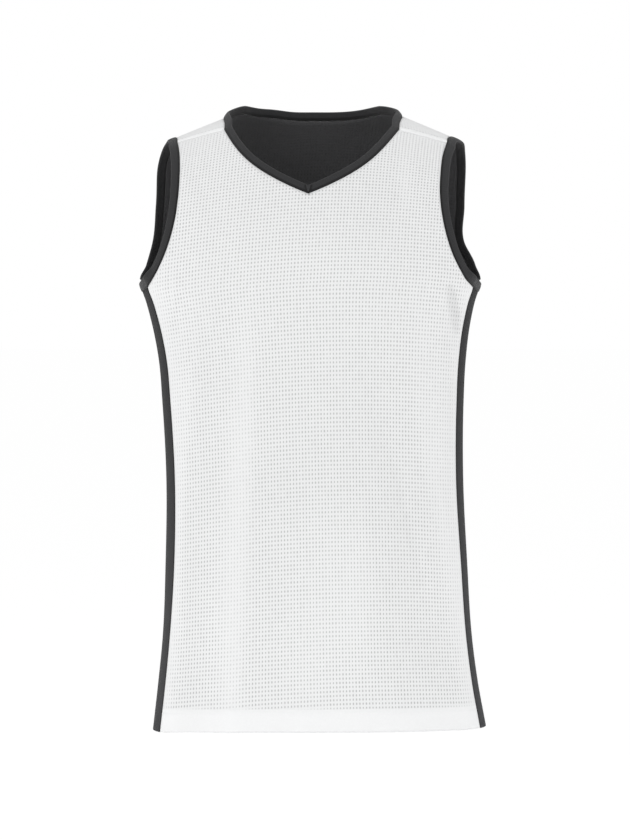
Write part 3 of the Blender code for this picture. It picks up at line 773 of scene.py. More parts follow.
def body_block(side):
    """The panel below the armpits. Its rows are level but for the drop of the hem."""
    columns = 2 * STRAP_COLUMNS + NECK_COLUMNS
    share = np.linspace(0, 1, columns + 1)[None, :]
    heights = body_heights()[:, None]
    left_seam = side_seam_around(side, LEFT, heights - hem_drop(heights, LEFT))
    right_seam = side_seam_around(side, RIGHT, heights - hem_drop(heights, RIGHT))
    around = left_seam + share * (right_seam - left_seam)
    return np.array([around, heights - hem_drop(heights, 2 * share - 1) - ARMPIT_Z])


def strap_foot(armhole, neck):
    """Line across the foot of a strap, from the armhole to the neck edge."""
    share = np.linspace(0, 1, STRAP_COLUMNS + 1)
    return armhole[:, None] + share * (neck - armhole)[:, None]


@functools.lru_cache
def panel_places(side):
    """(around, rise) over the front or back. Places inside the neck opening are NaN."""
    chest_rows = CHEST_ROWS[side]
    body = body_block(side)
    neck_half, strap_side = neck_edges(side)
    neck = np.concatenate([mirrored(neck_half)[:, :0:-1], neck_half], axis=1)
    neck = shifted(neck, side)
    left_up, right_up = shifted(mirrored(strap_side), side), shifted(strap_side, side)
    left, right = armhole_edge(side, LEFT), armhole_edge(side, RIGHT)
    left_foot = strap_foot(left[:, chest_rows], left_up[:, 0])
    right_foot = strap_foot(right[:, chest_rows], right_up[:, 0])[:, ::-1]
    top = np.concatenate([left_foot[:, :-1], neck, right_foot[:, 1:]], axis=1)
    sides = left[:, : chest_rows + 1], right[:, : chest_rows + 1]
    chest = between_edges(body[:, -1], top, *sides)
    left_seam, right_seam = seam_edge(side, LEFT), seam_edge(side, RIGHT)[:, ::-1]
    left_strap = between_edges(left_foot, left_seam, left[:, chest_rows:], left_up)
    right_strap = between_edges(right_foot, right_seam, right_up, right[:, chest_rows:])
    opening = np.full((2, STRAP_ROWS[side] + 1, NECK_COLUMNS - 1), np.nan)
    straps = np.concatenate([left_strap, opening, right_strap], axis=2)
    return np.concatenate([body, chest[:, 1:], straps[:, 1:]], axis=1)


@functools.lru_cache
def panel_grid(side):
    """(points, normals) of the front or back."""
    return surface(cloth, *panel_places(side), side, NUDGE / CHEST_HALF_WIDTH, -side)


def side_panel_places(end):
    """(across, height) over a side panel, columns from the front seam to the back seam."""
    share = np.linspace(0, 1, SIDE_COLUMNS + 1)[None, :]
    heights = body_heights()[:, None]
    heights = heights - hem_drop(heights, end)
    front = -side_panel_edge(FRONT, end, heights) + SEAM_GAP / 2
    back = side_panel_edge(BACK, end, heights) - SEAM_GAP / 2
    across = front + share * (back - front)
    dip = ARMHOLE_DIP * 4 * share * (1 - share)
    return across, heights - dip * smooth_between(heights, ARMHOLE_DIP_FOOT_Z, ARMPIT_Z)


@functools.lru_cache
def side_panel_grid(end):
    """(points, normals) of a side panel."""
    return surface(side_cloth, *side_panel_places(end), end, NUDGE, end)


def loop_around(*edges):
    """Joins the points and normals of several edges into one closed run."""
    return [np.concatenate(parts) for parts in zip(*edges)]


def neck_run(grid, side):
    """The neck edge of one array of a panel's grid, from its left corner to its right one."""
    foot = -1 - STRAP_ROWS[side]
    left_up = grid[:foot:-1, STRAP_COLUMNS]
    across = grid[foot, STRAP_COLUMNS : STRAP_COLUMNS + NECK_COLUMNS + 1]
    right_up = grid[foot + 1 :, STRAP_COLUMNS + NECK_COLUMNS]
    return np.concatenate([left_up, across, right_up])


def neck_loop():
    """Points and normals round the neck: down and up the V, then round the back."""
    front_edge = [neck_run(grid, FRONT) for grid in panel_grid(FRONT)]
    back_edge = [neck_run(grid, BACK)[::-1] for grid in panel_grid(BACK)]
    return loop_around(front_edge, back_edge)


def armhole_loop(end):
    """Points and normals round an armhole: up the front, down the back and under the arm."""
    outer = 0 if end == LEFT else -1
    front_edge = [grid[BODY_ROWS:, outer] for grid in panel_grid(FRONT)]
    back_edge = [grid[BODY_ROWS:, outer][::-1] for grid in panel_grid(BACK)]
    under_arm = [grid[-1, 1:-1][::-1] for grid in side_panel_grid(end)]
    return loop_around(front_edge, back_edge, under_arm)


# Meshes.


def new_object(name, data):
    made = bpy.data.objects.new(name, data)
    bpy.context.scene.collection.objects.link(made)
    return made


def new_piece(name, points, faces, uvs, material):
    """A piece at the origin, from points, faces as rows of corners, and one UV pair a point."""
    mesh = bpy.data.meshes.new(name)
    mesh.from_pydata(points.tolist(), [], faces.tolist())
    corner_points = np.empty(len(mesh.loops), np.int32)
    mesh.loops.foreach_get("vertex_index", corner_points)
    layer = mesh.uv_layers.new(name="cloth")
    layer.data.foreach_set("uv", uvs[corner_points].astype(np.float32).ravel())
    mesh.materials.append(material)
    mesh.shade_smooth()
    mesh.update()
    return new_object(name, mesh)


def turned_out(faces, points, normals):
    """The faces, turned round if most of them point against their normals."""
    first, second, third = (points[faces[:, i]] for i in (0, 1, 2))
    turned = np.cross(second - first, third - first)
    agreement = np.sum(turned * normals[faces[:, 0]])
    return faces if agreement > 0 else faces[:, ::-1]


def squares(index):
    """Squares between the neighbours in a grid of point numbers."""
    corners = [index[:-1, :-1], index[:-1, 1:], index[1:, 1:], index[1:, :-1]]
    return np.stack(corners, axis=-1).reshape(-1, 4)


def grid_faces(present):
    """Squares between the present places of a grid, which are numbered in order."""
    index = np.full(present.shape, -1)
    index[present] = np.arange(present.sum())
    faces = squares(index)
    return faces[(faces >= 0).all(axis=1)]


def fold_lift_and_painted_lines(side):
    """How far the folds lift the front or back at each place, in FOLD_UNITs, with the lines of
    painted shade, which lower it, and the line of painted light, which raises it."""
    around, _ = panel_places(side)
    points = panel_grid(side)[0]
    x, z = points[..., 0], points[..., 2]
    facing = np.full(x.shape, side)
    return (fold_height(x, z, facing, around) + sum_of_lines(PAINTED_SHADE_AND_LIGHT_LINES, x, z, facing)) / FOLD_UNIT


def above_hem(side):
    """Height of each place above the hem's top, as it is before the hem drops."""
    points = panel_grid(side)[0]
    chest = np.full(len(points) - BODY_ROWS - 1, ARMPIT_Z)
    levels = np.concatenate([body_heights(), chest]) - HEM_TOP_Z
    return levels[:, None] + 0 * points[..., 0]


def store(piece, name, values):
    """Keeps one number for each point of a piece. NaN marks the places that it doesn't have."""
    values = values[np.isfinite(values)].astype(np.float32)
    piece.data.attributes.new(name, "FLOAT", "POINT").data.foreach_set("value", values)


def cloth_piece(name, grid, uvs, layer, material, hem_extra=0.0):
    """A sheet on the grid's points moved out, with the layer's thickness inwards."""
    points, normals = grid
    present = np.isfinite(points[:, :, 0])
    outer, thickness = layer
    faces = grid_faces(present)
    flat_normals = normals[present]
    rows = np.broadcast_to(np.arange(len(points))[:, None], present.shape)[present]
    to_seam = np.broadcast_to(np.linspace(-1, 1, points.shape[1]), present.shape)[present]
    in_hem = (rows <= HEM_ROWS)[:, None] * (1 - np.abs(to_seam[:, None]) ** HEM_END_POWER)
    sheet_points = points[present] + flat_normals * (outer + hem_extra * in_hem)
    faces = turned_out(faces, sheet_points, flat_normals)
    piece = new_piece(name, sheet_points, faces, uvs[present], material)
    wall = piece.modifiers.new("thickness", "SOLIDIFY")
    wall.thickness = thickness
    wall.offset = -1.0
    wall.use_quality_normals = True
    return piece


def finish_piece(piece, node):
    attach(piece, "root")
    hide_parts(node)


def mitred(points, normals, inside):
    """Direction in the cloth, square to the edge, that points towards inside from each point.

    At a corner it is longer, so that a strip laid along it keeps its width.
    """
    before = unit(points - np.roll(points, 1, axis=0))
    after = unit(np.roll(points, -1, axis=0) - points)
    first = unit(np.cross(normals, before))
    second = unit(np.cross(normals, after))
    towards = np.sign(np.sum((inside - points) * first, axis=-1).sum())
    overlap = np.sum(first * second, axis=-1, keepdims=True)
    return towards * (first + second) / (1 + overlap)


def binding_profile(width):
    """Cross-section of a folded strip, as (reach, lift) pairs from the sewn edge round to it.

    The outer face rises out of the seam's groove over a rounded step, runs level with a slight
    crown, turns round the fold in half a circle, and comes back along the inner face.
    """
    top, low = BINDING_FACES
    edge_reach, edge_lift = BINDING_EDGE
    radius = (top - low) / 2
    on_step, on_face, on_turn = BINDING_POINTS
    rise = np.linspace(0, 1, on_step)
    step_reach = edge_reach + BINDING_STEP * rise
    step_lift = edge_lift + (top - edge_lift) * smooth_step(rise)
    flat = np.linspace(0, 1, on_face + 2)[1:-1]
    flat_reach = step_reach[-1] + (width - radius - step_reach[-1]) * flat
    flat_lift = top + BINDING_CROWN * np.sin(math.pi * flat)
    turn = np.linspace(math.pi / 2, -math.pi / 2, on_turn)
    turn_reach = width - radius + radius * np.cos(turn)
    turn_lift = (top + low) / 2 + radius * np.sin(turn)
    back_reach, back_lift = np.transpose([(width / 2, 0.0), *BINDING_BACK])
    reach = np.concatenate([step_reach, flat_reach, turn_reach, back_reach])
    return reach, np.concatenate([step_lift, flat_lift, turn_lift, low + back_lift])


def evened(directions, share):
    """Directions round a closed edge, each drawn towards its neighbours' mean over and over.

    share is how far each one moves, 0 where a corner stays sharp.
    """
    for _ in range(EVENING_STEPS):
        neighbours = (np.roll(directions, 1, axis=0) + np.roll(directions, -1, axis=0)) / 2
        directions = directions + share[:, None] / 2 * (neighbours - directions)
    return directions


def binding_piece(name, loop, width, stand, evening, material):
    """The binding's profile carried round a closed edge and leaned out by the stand angle.

    Its UVs are the place along the edge and the distance from the nearer sewn edge.
    """
    points, normals = loop
    across = mitred(points, normals, points.mean(axis=0))
    across, normals = evened(across, evening), unit(evened(normals, evening))
    stand = stand[:, None]
    leaning = across * np.cos(stand) + normals * np.sin(stand)
    square = normals * np.cos(stand) - across * np.sin(stand)
    reach, lift = binding_profile(width)
    rings = points[:, None] + leaning[:, None] * reach[:, None] + square[:, None] * lift[:, None]
    rings = np.concatenate([rings, rings[:1]])
    along = running_total(np.linalg.norm(np.roll(points, -1, axis=0) - points, axis=1))
    girth = running_total(np.hypot(np.diff(reach), np.diff(lift)))
    girth = np.minimum(girth, girth[-1] - girth)
    uvs = np.stack(np.broadcast_arrays(along[:, None], girth[None, :]), axis=-1)
    index = np.arange(uvs[..., 0].size).reshape(uvs.shape[:2])
    faces = squares(np.concatenate([index, index[:, :1]], axis=1).T)
    ring_points = rings.reshape(-1, 3)
    outwards = np.repeat(np.concatenate([normals, normals[:1]]), len(reach), axis=0)
    crown_faces = faces.reshape(len(reach), len(points), 4)[np.argmax(lift)]
    if turned_out(crown_faces, ring_points, outwards) is not crown_faces:
        faces = faces[:, ::-1]
    piece = new_piece(name, ring_points, faces, uvs.reshape(-1, 2), material)
    weld = piece.modifiers.new("closed", "WELD")
    weld.merge_threshold = 1e-6
    return piece


def seam_band_grid(end):
    """The grid of the band in a shoulder seam, and its places.

    Each row lies a share of the way from the front panel's edge to the back panel's, lifted by
    half a sine wave.
    """
    strap = slice(0, STRAP_COLUMNS + 1) if end == LEFT else slice(-STRAP_COLUMNS - 1, None)
    front_edge, front_normal = (grid[-1, strap] for grid in panel_grid(FRONT))
    back_edge, back_normal = (grid[-1, strap] for grid in panel_grid(BACK))
    share = np.linspace(0, 1, BAND_ROWS + 1)[:, None, None]
    over = unit(back_edge - front_edge) * BAND_OVERLAP
    near, far = front_edge - over, back_edge + over
    normals = unit(front_normal + share * (back_normal - front_normal))
    lift = BAND_LIFT * np.sqrt(np.sin(math.pi * share)) + BAND_END_LIFT
    points = near + share * (far - near) + normals * lift
    along = np.linalg.norm(points - points[:, :1], axis=-1)
    places = np.stack([along, share[..., 0] * SEAM_BAND_WIDTH + 0 * along], axis=-1)
    return (points, normals), places


def tongue_grid(loop, binding_width):
    """The grid of the tongue at the V, and its places.

    Its half width closes over a rounded point as a power of one less a power of the distance down.
    Its outer face is crowned. Its places count up the tongue and in from its outline.
    """
    points, normals = loop
    tip = np.argmin(points[:, 2])
    out = normals[tip]
    sideways = unit(points[tip + 2] - points[tip - 2])
    upwards = np.cross(sideways, -out)
    upwards = upwards * np.sign(upwards[2])
    rows, columns = TONGUE_POINTS
    down, across = np.meshgrid(np.linspace(0, 1, rows), np.linspace(-1, 1, columns), indexing="ij")
    power, outer_power = TONGUE_POWERS
    half = TONGUE_WIDTH / 2 * np.clip(1 - down**power, 0, 1) ** outer_power + LEAST_HALF_WIDTH
    along = binding_width - TONGUE_LENGTH * down
    power, down_power = CROWN_POWERS
    lift = TONGUE_LIFT + TONGUE_CROWN * (1 - np.abs(across) ** power) * (1 - down**down_power)
    offsets = (sideways, across * half), (upwards, along), (out, lift)
    place = points[tip] + sum(axis * part[..., None] for axis, part in offsets)
    from_outline = np.minimum((1 - np.abs(across)) * half, (1 - down) * TONGUE_LENGTH)
    return (place, np.broadcast_to(out, place.shape)), np.stack([along, from_outline], axis=-1)


def stitch_row(points, normals, length, gap, thickness):
    """Points and faces of a row of stitches laid along a line.

    Each stitch is a half ellipsoid: along, across and lift are the products of sines and cosines
    of two angles with its half length, half width and height.
    """
    run = running_total(np.linalg.norm(np.diff(points, axis=0), axis=1))
    count = int(run[-1] / (length + gap))
    middles = (np.arange(count) + 0.5) * run[-1] / count

    def at(values, places):
        return np.stack([np.interp(places, run, values[:, i]) for i in range(3)], axis=-1)

    middle, up = at(points, middles), unit(at(normals, middles))
    ahead = unit(at(points, middles + length / 2) - at(points, middles - length / 2))
    beside = np.cross(ahead, up)
    turns = [np.linspace(0, math.pi, size) for size in STITCH_POINTS]
    lengthwise, round_it = np.meshgrid(*turns, indexing="ij")
    girth = np.sin(lengthwise) ** STITCH_POWER
    along = -np.cos(lengthwise) * length / 2
    across = -np.cos(round_it) * girth * thickness / 2
    lift = thickness * (np.sin(round_it) * girth * STITCH_HEIGHT_SHARE - STITCH_SINK_SHARE)
    local = [part[None, ..., None] for part in (along, across, lift)]
    frames = [part[:, None, None] for part in (ahead, beside, up)]
    made = middle[:, None, None] + sum(a * b for a, b in zip(local, frames))
    index = np.arange(made[..., 0].size).reshape(made.shape[:-1])
    return made.reshape(-1, 3), np.concatenate([squares(stitch) for stitch in index])


def hem_row(grid, lift):
    """Points and normals along the row of a grid that lies a little below the hem's top."""
    points, normals = (part[HEM_STITCH_ROW] for part in grid)
    return points + normals * lift, normals


def stitches_piece(name, rows, material):
    """All the stitches of some rows, as one piece attached to the root."""
    points, faces, count = [], [], 0
    for row in rows:
        made, stitches = stitch_row(*row, *HEM_STITCH)
        points.append(made)
        faces.append(stitches + count)
        count += len(made)
    points = np.concatenate(points)
    piece = new_piece(name, points, np.concatenate(faces), points[:, [0, 2]], material)
    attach(piece, "root")


# Materials.

# Smooth steps of tone and eyelets by slant, level above the hem and lift of the folds, from the
# first two values of each onto the last two, or onto 0 and 1. Several tone steps are painted light
# and shade: a painted sheen by slant, painted light high up, and painted shade and light along
# the folds and the shade lines.
SLANT_CLOSES_EYELETS = (0.22, 0.68, 1.06, 0.0)
# Fading the eyelets where the folds lift the mesh also paints light onto the ridges.
LIFT_FADES_EYELETS = (0.0, 1.6, 0.87, 0.45)
EYELETS_START_LEVEL = (0.0, 0.003)
# Painted sheen: the mesh's colour is lighter where it is seen at a slant, darker face on.
PAINTED_SHEEN_BY_SLANT = (0.02, 0.42, 0.968, 1.018)
# Painted light: high up, over the shoulders, the slanted mesh is lighter in colour.
PAINTED_SHOULDER_LIGHT = (0.42, 0.56, 0.0, 0.040)
PAINTED_SHOULDER_LIGHT_SLANT = (0.04, 0.20)
# Painted shade: along the shade lines the mesh's colour is darker.
PAINTED_SHADE_DARKENS = (-1.9, -0.9, 0.93, 1.0)
MESH_OVER_HEM_DARKENS = (0.0, 0.002, 1.0, 0.948)
BODY_DARKENS_UPWARDS = (0.06, 0.30, 1.0, 0.968)
SEAM_LINE = (0.0012, 0.0022, 0.55, 1.0)
# Painted light and shade of the folds: ridges lighter and troughs darker in colour.
PAINTED_FOLD_SHADING = 0.012

# Eyelets: spread and least share of their width, squeeze upwards, rim and depth.
EYELET_WIDTHS = (0.22, 0.90)
EYELET_SQUEEZE = 0.62
EYELET_RIM = (1.5, 0.5)
EYELET_DEPTH = 4.0

# Knit: lean of the threads, roundness of a ridge and height of the wave on it.
KNIT_LEAN = 1.4
KNIT_ROUNDNESS = 6.0
KNIT_WAVE = 0.4

# Two noises of the cloth's tone, each as scale and gain, and the tone without them.
SLOW_TONE = (9.0, 0.04)
FINE_TONE = (420.0, 0.05)
LEAST_TONE = 0.955

# Side panels go over to their darker colour within this height above the hem.
SIDE_FADE_HEIGHT = 0.45

# Sizes of stitches, spacing of a binding's ribs and of the thread's twist, slant of that twist,
# share of the knit in a binding's relief, and end of the painted shade in its groove over that
# shade's width.
MESH_STITCH = 0.0011
RIB_STITCH = 0.0008
RIB_SPACING = 0.0011
TWIST_SPACING = 0.0005
TWIST_SLANT = 1.6
RIB_KNIT_SHARE = 0.6
GROOVE_SHADE_END = 1.3


def new_material(name, inputs):
    """A material with these inputs of its shader, its node tree and its shader."""
    material = bpy.data.materials.new(name)
    material.use_nodes = True
    tree = material.node_tree
    shader = tree.nodes["Principled BSDF"]
    for key, value in inputs.items():
        shader.inputs[key].default_value = value
    return material, tree, shader


def add(tree, kind, inputs, **attributes):
    """A node of a kind with its attributes, its inputs linked from sockets or set to values."""
    node = tree.nodes.new(kind)
    for name, value in attributes.items():
        setattr(node, name, value)
    for key, value in inputs.items():
        if isinstance(value, bpy.types.NodeSocket):
            tree.links.new(value, node.inputs[key])
        else:
            node.inputs[key].default_value = value
    return node


def calculate(tree, operation, *values):
    node = add(tree, "ShaderNodeMath", dict(enumerate(values)), operation=operation)
    return node.outputs[0]


def calculate_vector(tree, operation, *values):
    node = add(tree, "ShaderNodeVectorMath", dict(enumerate(values)), operation=operation)
    return node.outputs["Value" if operation == "LENGTH" else "Vector"]


def between(tree, value, low, high, to_low=0.0, to_high=1.0):
    """Smooth step of a value from low to high, onto to_low to to_high."""
    inputs = {"Value": value, 1: low, 2: high, 3: to_low, 4: to_high}
    node = add(tree, "ShaderNodeMapRange", inputs, interpolation_type="SMOOTHSTEP")
    return node.outputs["Result"]


def product(tree, *values):
    """Product of two or more values."""
    return functools.reduce(functools.partial(calculate, tree, "MULTIPLY"), values)


def scaled(tree, vector, factor):
    """A vector or colour times a factor."""
    if not isinstance(vector, bpy.types.NodeSocket):
        vector = vector[:3]
    node = add(tree, "ShaderNodeVectorMath", {0: vector, "Scale": factor}, operation="SCALE")
    return node.outputs["Vector"]


def mixed(tree, share, first, second):
    """Colour between two colours."""
    inputs = {0: share, 6: first, 7: second}
    return add(tree, "ShaderNodeMix", inputs, data_type="RGBA").outputs[2]


def stored(tree, name):
    """The number of that name that the piece's points hold."""
    return add(tree, "ShaderNodeAttribute", {}, attribute_name=name).outputs["Fac"]


def placed(tree, group, inputs):
    """First output of a node group placed in a tree."""
    return add(tree, "ShaderNodeGroup", inputs, node_tree=group).outputs[0]


def new_group(name, inputs, outputs):
    """An empty node group with float or vector sockets, and its input and output nodes."""
    group = bpy.data.node_groups.new(name, "ShaderNodeTree")
    for label, kind in inputs:
        group.interface.new_socket(label, in_out="INPUT", socket_type=f"NodeSocket{kind}")
    for label in outputs:
        group.interface.new_socket(label, in_out="OUTPUT", socket_type="NodeSocketFloat")
    return group, group.nodes.new("NodeGroupInput").outputs, group.nodes.new("NodeGroupOutput")


@functools.lru_cache
def eyelet_group():
    """Rows and columns of upright oval eyelets on a place in metres.

    The place is taken from the middle of its cell. Its distance from there, over half the
    eyelet's width, falls from hole to cloth over a soft rim. Each cell's width differs a little.
    """
    inputs = (("Place", "Vector"), ("Across", "Float"), ("Up", "Float"), ("Width", "Float"))
    group, given, output = new_group("eyelets", inputs, ("Hole",))
    pitch = add(group, "ShaderNodeCombineXYZ", {0: given["Across"], 1: given["Up"], 2: 1.0})
    cells = calculate_vector(group, "DIVIDE", given["Place"], pitch.outputs[0])
    number = calculate_vector(group, "FLOOR", cells)
    uneven = add(group, "ShaderNodeTexWhiteNoise", {"Vector": number}, noise_dimensions="2D")
    width_share = calculate(group, "MULTIPLY_ADD", uneven.outputs["Value"], *EYELET_WIDTHS)
    off = calculate_vector(group, "FRACTION", cells)
    off = calculate_vector(group, "SUBTRACT", off, (0.5, 0.5, 0.0))
    off = calculate_vector(group, "MULTIPLY", off, pitch.outputs[0])
    off = calculate_vector(group, "MULTIPLY", off, (1.0, EYELET_SQUEEZE, 0.0))
    distance = calculate_vector(group, "LENGTH", off)
    half = product(group, given["Width"], 0.5, width_share)
    share = calculate(group, "DIVIDE", distance, half)
    group.links.new(between(group, share, *EYELET_RIM), output.inputs["Hole"])
    return group


@functools.lru_cache
def knit_group():
    """Height of a plain knit on a place in metres.

    Across a stitch the height is a rounded ridge. Up the stitch it is a wave whose phase grows
    away from the middle, so that the threads lean into a V.
    """
    inputs = (("Place", "Vector"), ("Stitch", "Float"))
    group, given, output = new_group("knit", inputs, ("Height",))
    cells = scaled(group, given["Place"], calculate(group, "DIVIDE", 1.0, given["Stitch"]))
    parts = add(group, "ShaderNodeSeparateXYZ", {0: cells})
    across = calculate(group, "SUBTRACT", calculate(group, "FRACT", parts.outputs[0]), 0.5)
    across = calculate(group, "ABSOLUTE", across)
    phase = calculate(group, "MULTIPLY_ADD", across, KNIT_LEAN, parts.outputs[1])
    wave = calculate(group, "SINE", product(group, phase, 2 * math.pi))
    squared = product(group, across, across)
    ridge = calculate(group, "MULTIPLY_ADD", squared, -KNIT_ROUNDNESS, 1.0)
    height = calculate(group, "MULTIPLY_ADD", wave, KNIT_WAVE, ridge)
    group.links.new(height, output.inputs["Height"])
    return group


@functools.lru_cache
def tone_group():
    """Slow and fine unevenness of dyed cloth, near 1, from two noises on a place in metres."""
    group, given, output = new_group("cloth tone", (("Place", "Vector"),), ("Tone",))
    tone = LEAST_TONE
    for scale, gain in (FINE_TONE, SLOW_TONE):
        noise = add(group, "ShaderNodeTexNoise", {"Vector": given["Place"], "Scale": scale})
        tone = calculate(group, "MULTIPLY_ADD", noise.outputs["Fac"], gain, tone)
    group.links.new(tone, output.inputs["Tone"])
    return group


def bumped(tree, shader, height, distance):
    bump = add(tree, "ShaderNodeBump", {"Height": height, "Distance": distance})
    tree.links.new(bump.outputs["Normal"], shader.inputs["Normal"])


def cloth_material(name, roughness, sheen):
    """An empty cloth material, as (material, tree, shader, UV place, object place, tone)."""
    inputs = {"Roughness": roughness, "Sheen Weight": sheen, "Sheen Roughness": 0.5}
    material, tree, shader = new_material(name, {"Specular IOR Level": 0.25, **inputs})
    uv = add(tree, "ShaderNodeUVMap", {}, uv_map="cloth").outputs["UV"]
    place = add(tree, "ShaderNodeTexCoord", {}).outputs["Object"]
    return material, tree, shader, uv, place, placed(tree, tone_group(), {"Place": place})


def mesh_material(name, colour, hole_colour, sizes, sheen, outside):
    """Knit with eyelets. Seen at a slant, the cloth's own thickness closes them.

    On the outer mesh they stop at the top of the hem, and they fade where a fold lifts the mesh
    off the dark layer beneath it, which also paints light onto the ridges. Its colour also holds a
    painted sheen, painted light high up, and painted light and shade of the folds.
    """
    material, tree, shader, uv, _, tone = cloth_material(name, roughness=0.75, sheen=sheen)
    spacing = {"Across": sizes.eyelet_across, "Up": sizes.eyelet_up, "Width": sizes.eyelet_size}
    hole = placed(tree, eyelet_group(), {"Place": uv, **spacing})
    slant = add(tree, "ShaderNodeLayerWeight", {"Blend": 0.5}).outputs["Facing"]
    hole = product(tree, hole, between(tree, slant, *SLANT_CLOSES_EYELETS))
    if outside:
        level, lift = stored(tree, "level"), stored(tree, "lift")
        # Painted sheen: lighter at a slant, darker face on.
        tone = product(tree, tone, between(tree, slant, *PAINTED_SHEEN_BY_SLANT))
        # Painted light on the slanted mesh high up, over the shoulders.
        high = between(tree, level, *PAINTED_SHOULDER_LIGHT)
        high = product(tree, high, between(tree, slant, *PAINTED_SHOULDER_LIGHT_SLANT))
        tone = calculate(tree, "MULTIPLY_ADD", tone, high, tone)
        # Painted light and shade of the folds.
        tone = calculate(tree, "MULTIPLY_ADD", lift, PAINTED_FOLD_SHADING, tone)
        # Painted shade along the shade lines.
        tone = product(tree, tone, between(tree, lift, *PAINTED_SHADE_DARKENS))
        for step in (MESH_OVER_HEM_DARKENS, BODY_DARKENS_UPWARDS):
            tone = product(tree, tone, between(tree, level, *step))
        above = between(tree, level, *EYELETS_START_LEVEL)
        hole = product(tree, hole, above, between(tree, lift, *LIFT_FADES_EYELETS))
    ground = scaled(tree, colour, tone)
    tree.links.new(mixed(tree, hole, ground, hole_colour), shader.inputs["Base Color"])
    knit = placed(tree, knit_group(), {"Place": uv, "Stitch": MESH_STITCH})
    relief = calculate(tree, "MULTIPLY_ADD", hole, -EYELET_DEPTH, knit)
    bumped(tree, shader, relief, distance=0.00008)
    return material


def knit_material(name, colour, sheen, stitch, low_colour=None):
    """Plain knit. With a second colour it goes over into that colour on its way down to the hem,
    and it has a dark line along its seams."""
    material, tree, shader, uv, place, tone = cloth_material(name, roughness=0.80, sheen=sheen)
    if low_colour is not None:
        height = add(tree, "ShaderNodeSeparateXYZ", {0: place}).outputs["Z"]
        above = between(tree, height, HEM_Z, HEM_Z + SIDE_FADE_HEIGHT)
        colour = mixed(tree, above, low_colour, colour)
        tone = product(tree, tone, between(tree, stored(tree, "seam"), *SEAM_LINE))
    tree.links.new(scaled(tree, colour, tone), shader.inputs["Base Color"])
    knit = placed(tree, knit_group(), {"Place": uv, "Stitch": stitch})
    bumped(tree, shader, knit, distance=0.00010)
    return material


def rib_material(name, colour, groove_shade_width, groove_shade_tone):
    """Binding knit: fine ribs across the strip, and painted shade along the sewn edge, where the
    strip dips into the seam's groove.
    """
    material, tree, shader, uv, _, tone = cloth_material(name, roughness=0.78, sheen=0.15)
    parts = add(tree, "ShaderNodeSeparateXYZ", {0: uv})
    # Painted shade: the colour is darker over the groove's width along the sewn edge.
    step = groove_shade_width, groove_shade_width * GROOVE_SHADE_END, groove_shade_tone, 1.0
    groove = between(tree, parts.outputs["Y"], *step)
    tone = product(tree, tone, groove)
    tree.links.new(scaled(tree, colour, tone), shader.inputs["Base Color"])
    rib = calculate(tree, "SINE", product(tree, parts.outputs["X"], 2 * math.pi / RIB_SPACING))
    knit = placed(tree, knit_group(), {"Place": uv, "Stitch": RIB_STITCH})
    relief = calculate(tree, "MULTIPLY_ADD", knit, RIB_KNIT_SHARE, rib)
    bumped(tree, shader, relief, distance=0.00008)
    return material


def thread_material(name, colour):
    """Twisted thread: fine slanting ridges."""
    material, tree, shader, _, place, tone = cloth_material(name, roughness=0.6, sheen=0.1)
    tree.links.new(scaled(tree, colour, tone), shader.inputs["Base Color"])
    parts = add(tree, "ShaderNodeSeparateXYZ", {0: place})
    slanted = calculate(tree, "MULTIPLY_ADD", parts.outputs["Z"], TWIST_SLANT, parts.outputs["X"])
    twist = calculate(tree, "SINE", product(tree, slanted, 2 * math.pi / TWIST_SPACING))
    bumped(tree, shader, twist, distance=0.00004)
    return material


def mesh_uvs(side):
    """Places of the mesh's columns and rows, in metres: columns along the side edges, rows with a
    droop towards both sides."""
    around, rise = panel_places(side)
    points = panel_grid(side)[0]
    x = points[..., 0]
    droop = ROW_DROOP * (1 + 2 * np.minimum(rise - DROOP_TOP_RISE, 0))
    half_width = section("half_width", ARMPIT_Z + np.minimum(rise, 0))
    width = (1 - COLUMN_FOLLOWING) * CHEST_HALF_WIDTH + COLUMN_FOLLOWING * half_width
    shift = CHEST_SHIFT * np.maximum(rise, 0)
    rows = rise + shift - ROW_SLANT * x + droop * x**2
    return np.stack([(around * width + x) / 2 - shift, rows], axis=-1)


def shade(colour, share=1.0):
    """A colour times a share, as the nodes take it."""
    return (*(share * part for part in colour), 1.0)


# Operators.


def panel_layer(kind, node_kind, layer, material, hem_extra=0.0):
    """One layer of the front and the back, as (side, piece) pairs."""
    made = []
    for side, name, area, height in PANEL_SHEETS:
        grid, uvs = panel_grid(side), mesh_uvs(side)
        piece = cloth_piece(f"{name}_{kind}", grid, uvs, layer, material, hem_extra)
        finish_piece(piece, f"{name}_{node_kind}")
        made.append((side, piece))
    return made


class PiecesOperator:
    """What the operators that build pieces share."""

    bl_options = {"REGISTER"}

    def execute(self, context):
        self.build(*settings())
        return {"FINISHED"}


class JERSEY_OT_outer_mesh(PiecesOperator, bpy.types.Operator):
    """Builds the white mesh front and back"""

    bl_idname = "jersey.outer_mesh"
    bl_label = "Outer mesh"

    def build(self, sizes, colours):
        colour, holes = shade(colours.white), shade(colours.white, 0.55)
        material = mesh_material("white mesh", colour, holes, sizes, sheen=0.16, outside=True)
        for side, piece in panel_layer("mesh", "panel", MESH_LAYER, material, HEM_EXTRA):
            # The lift holds the folds and the lines of painted shade and light, for the painted
            # shading.
            store(piece, "lift", fold_lift_and_painted_lines(side))
            store(piece, "level", above_hem(side))


class JERSEY_OT_inner_layer(PiecesOperator, bpy.types.Operator):
    """Builds the black inner layer of the front and back"""

    bl_idname = "jersey.inner_layer"
    bl_label = "Inner layer"

    def build(self, sizes, colours):
        colour, holes = shade(colours.black), shade(colours.black, 0.85)
        material = mesh_material("black mesh", colour, holes, sizes, sheen=0.1, outside=False)
        panel_layer("inner_layer", "lining", INNER_LAYER, material)


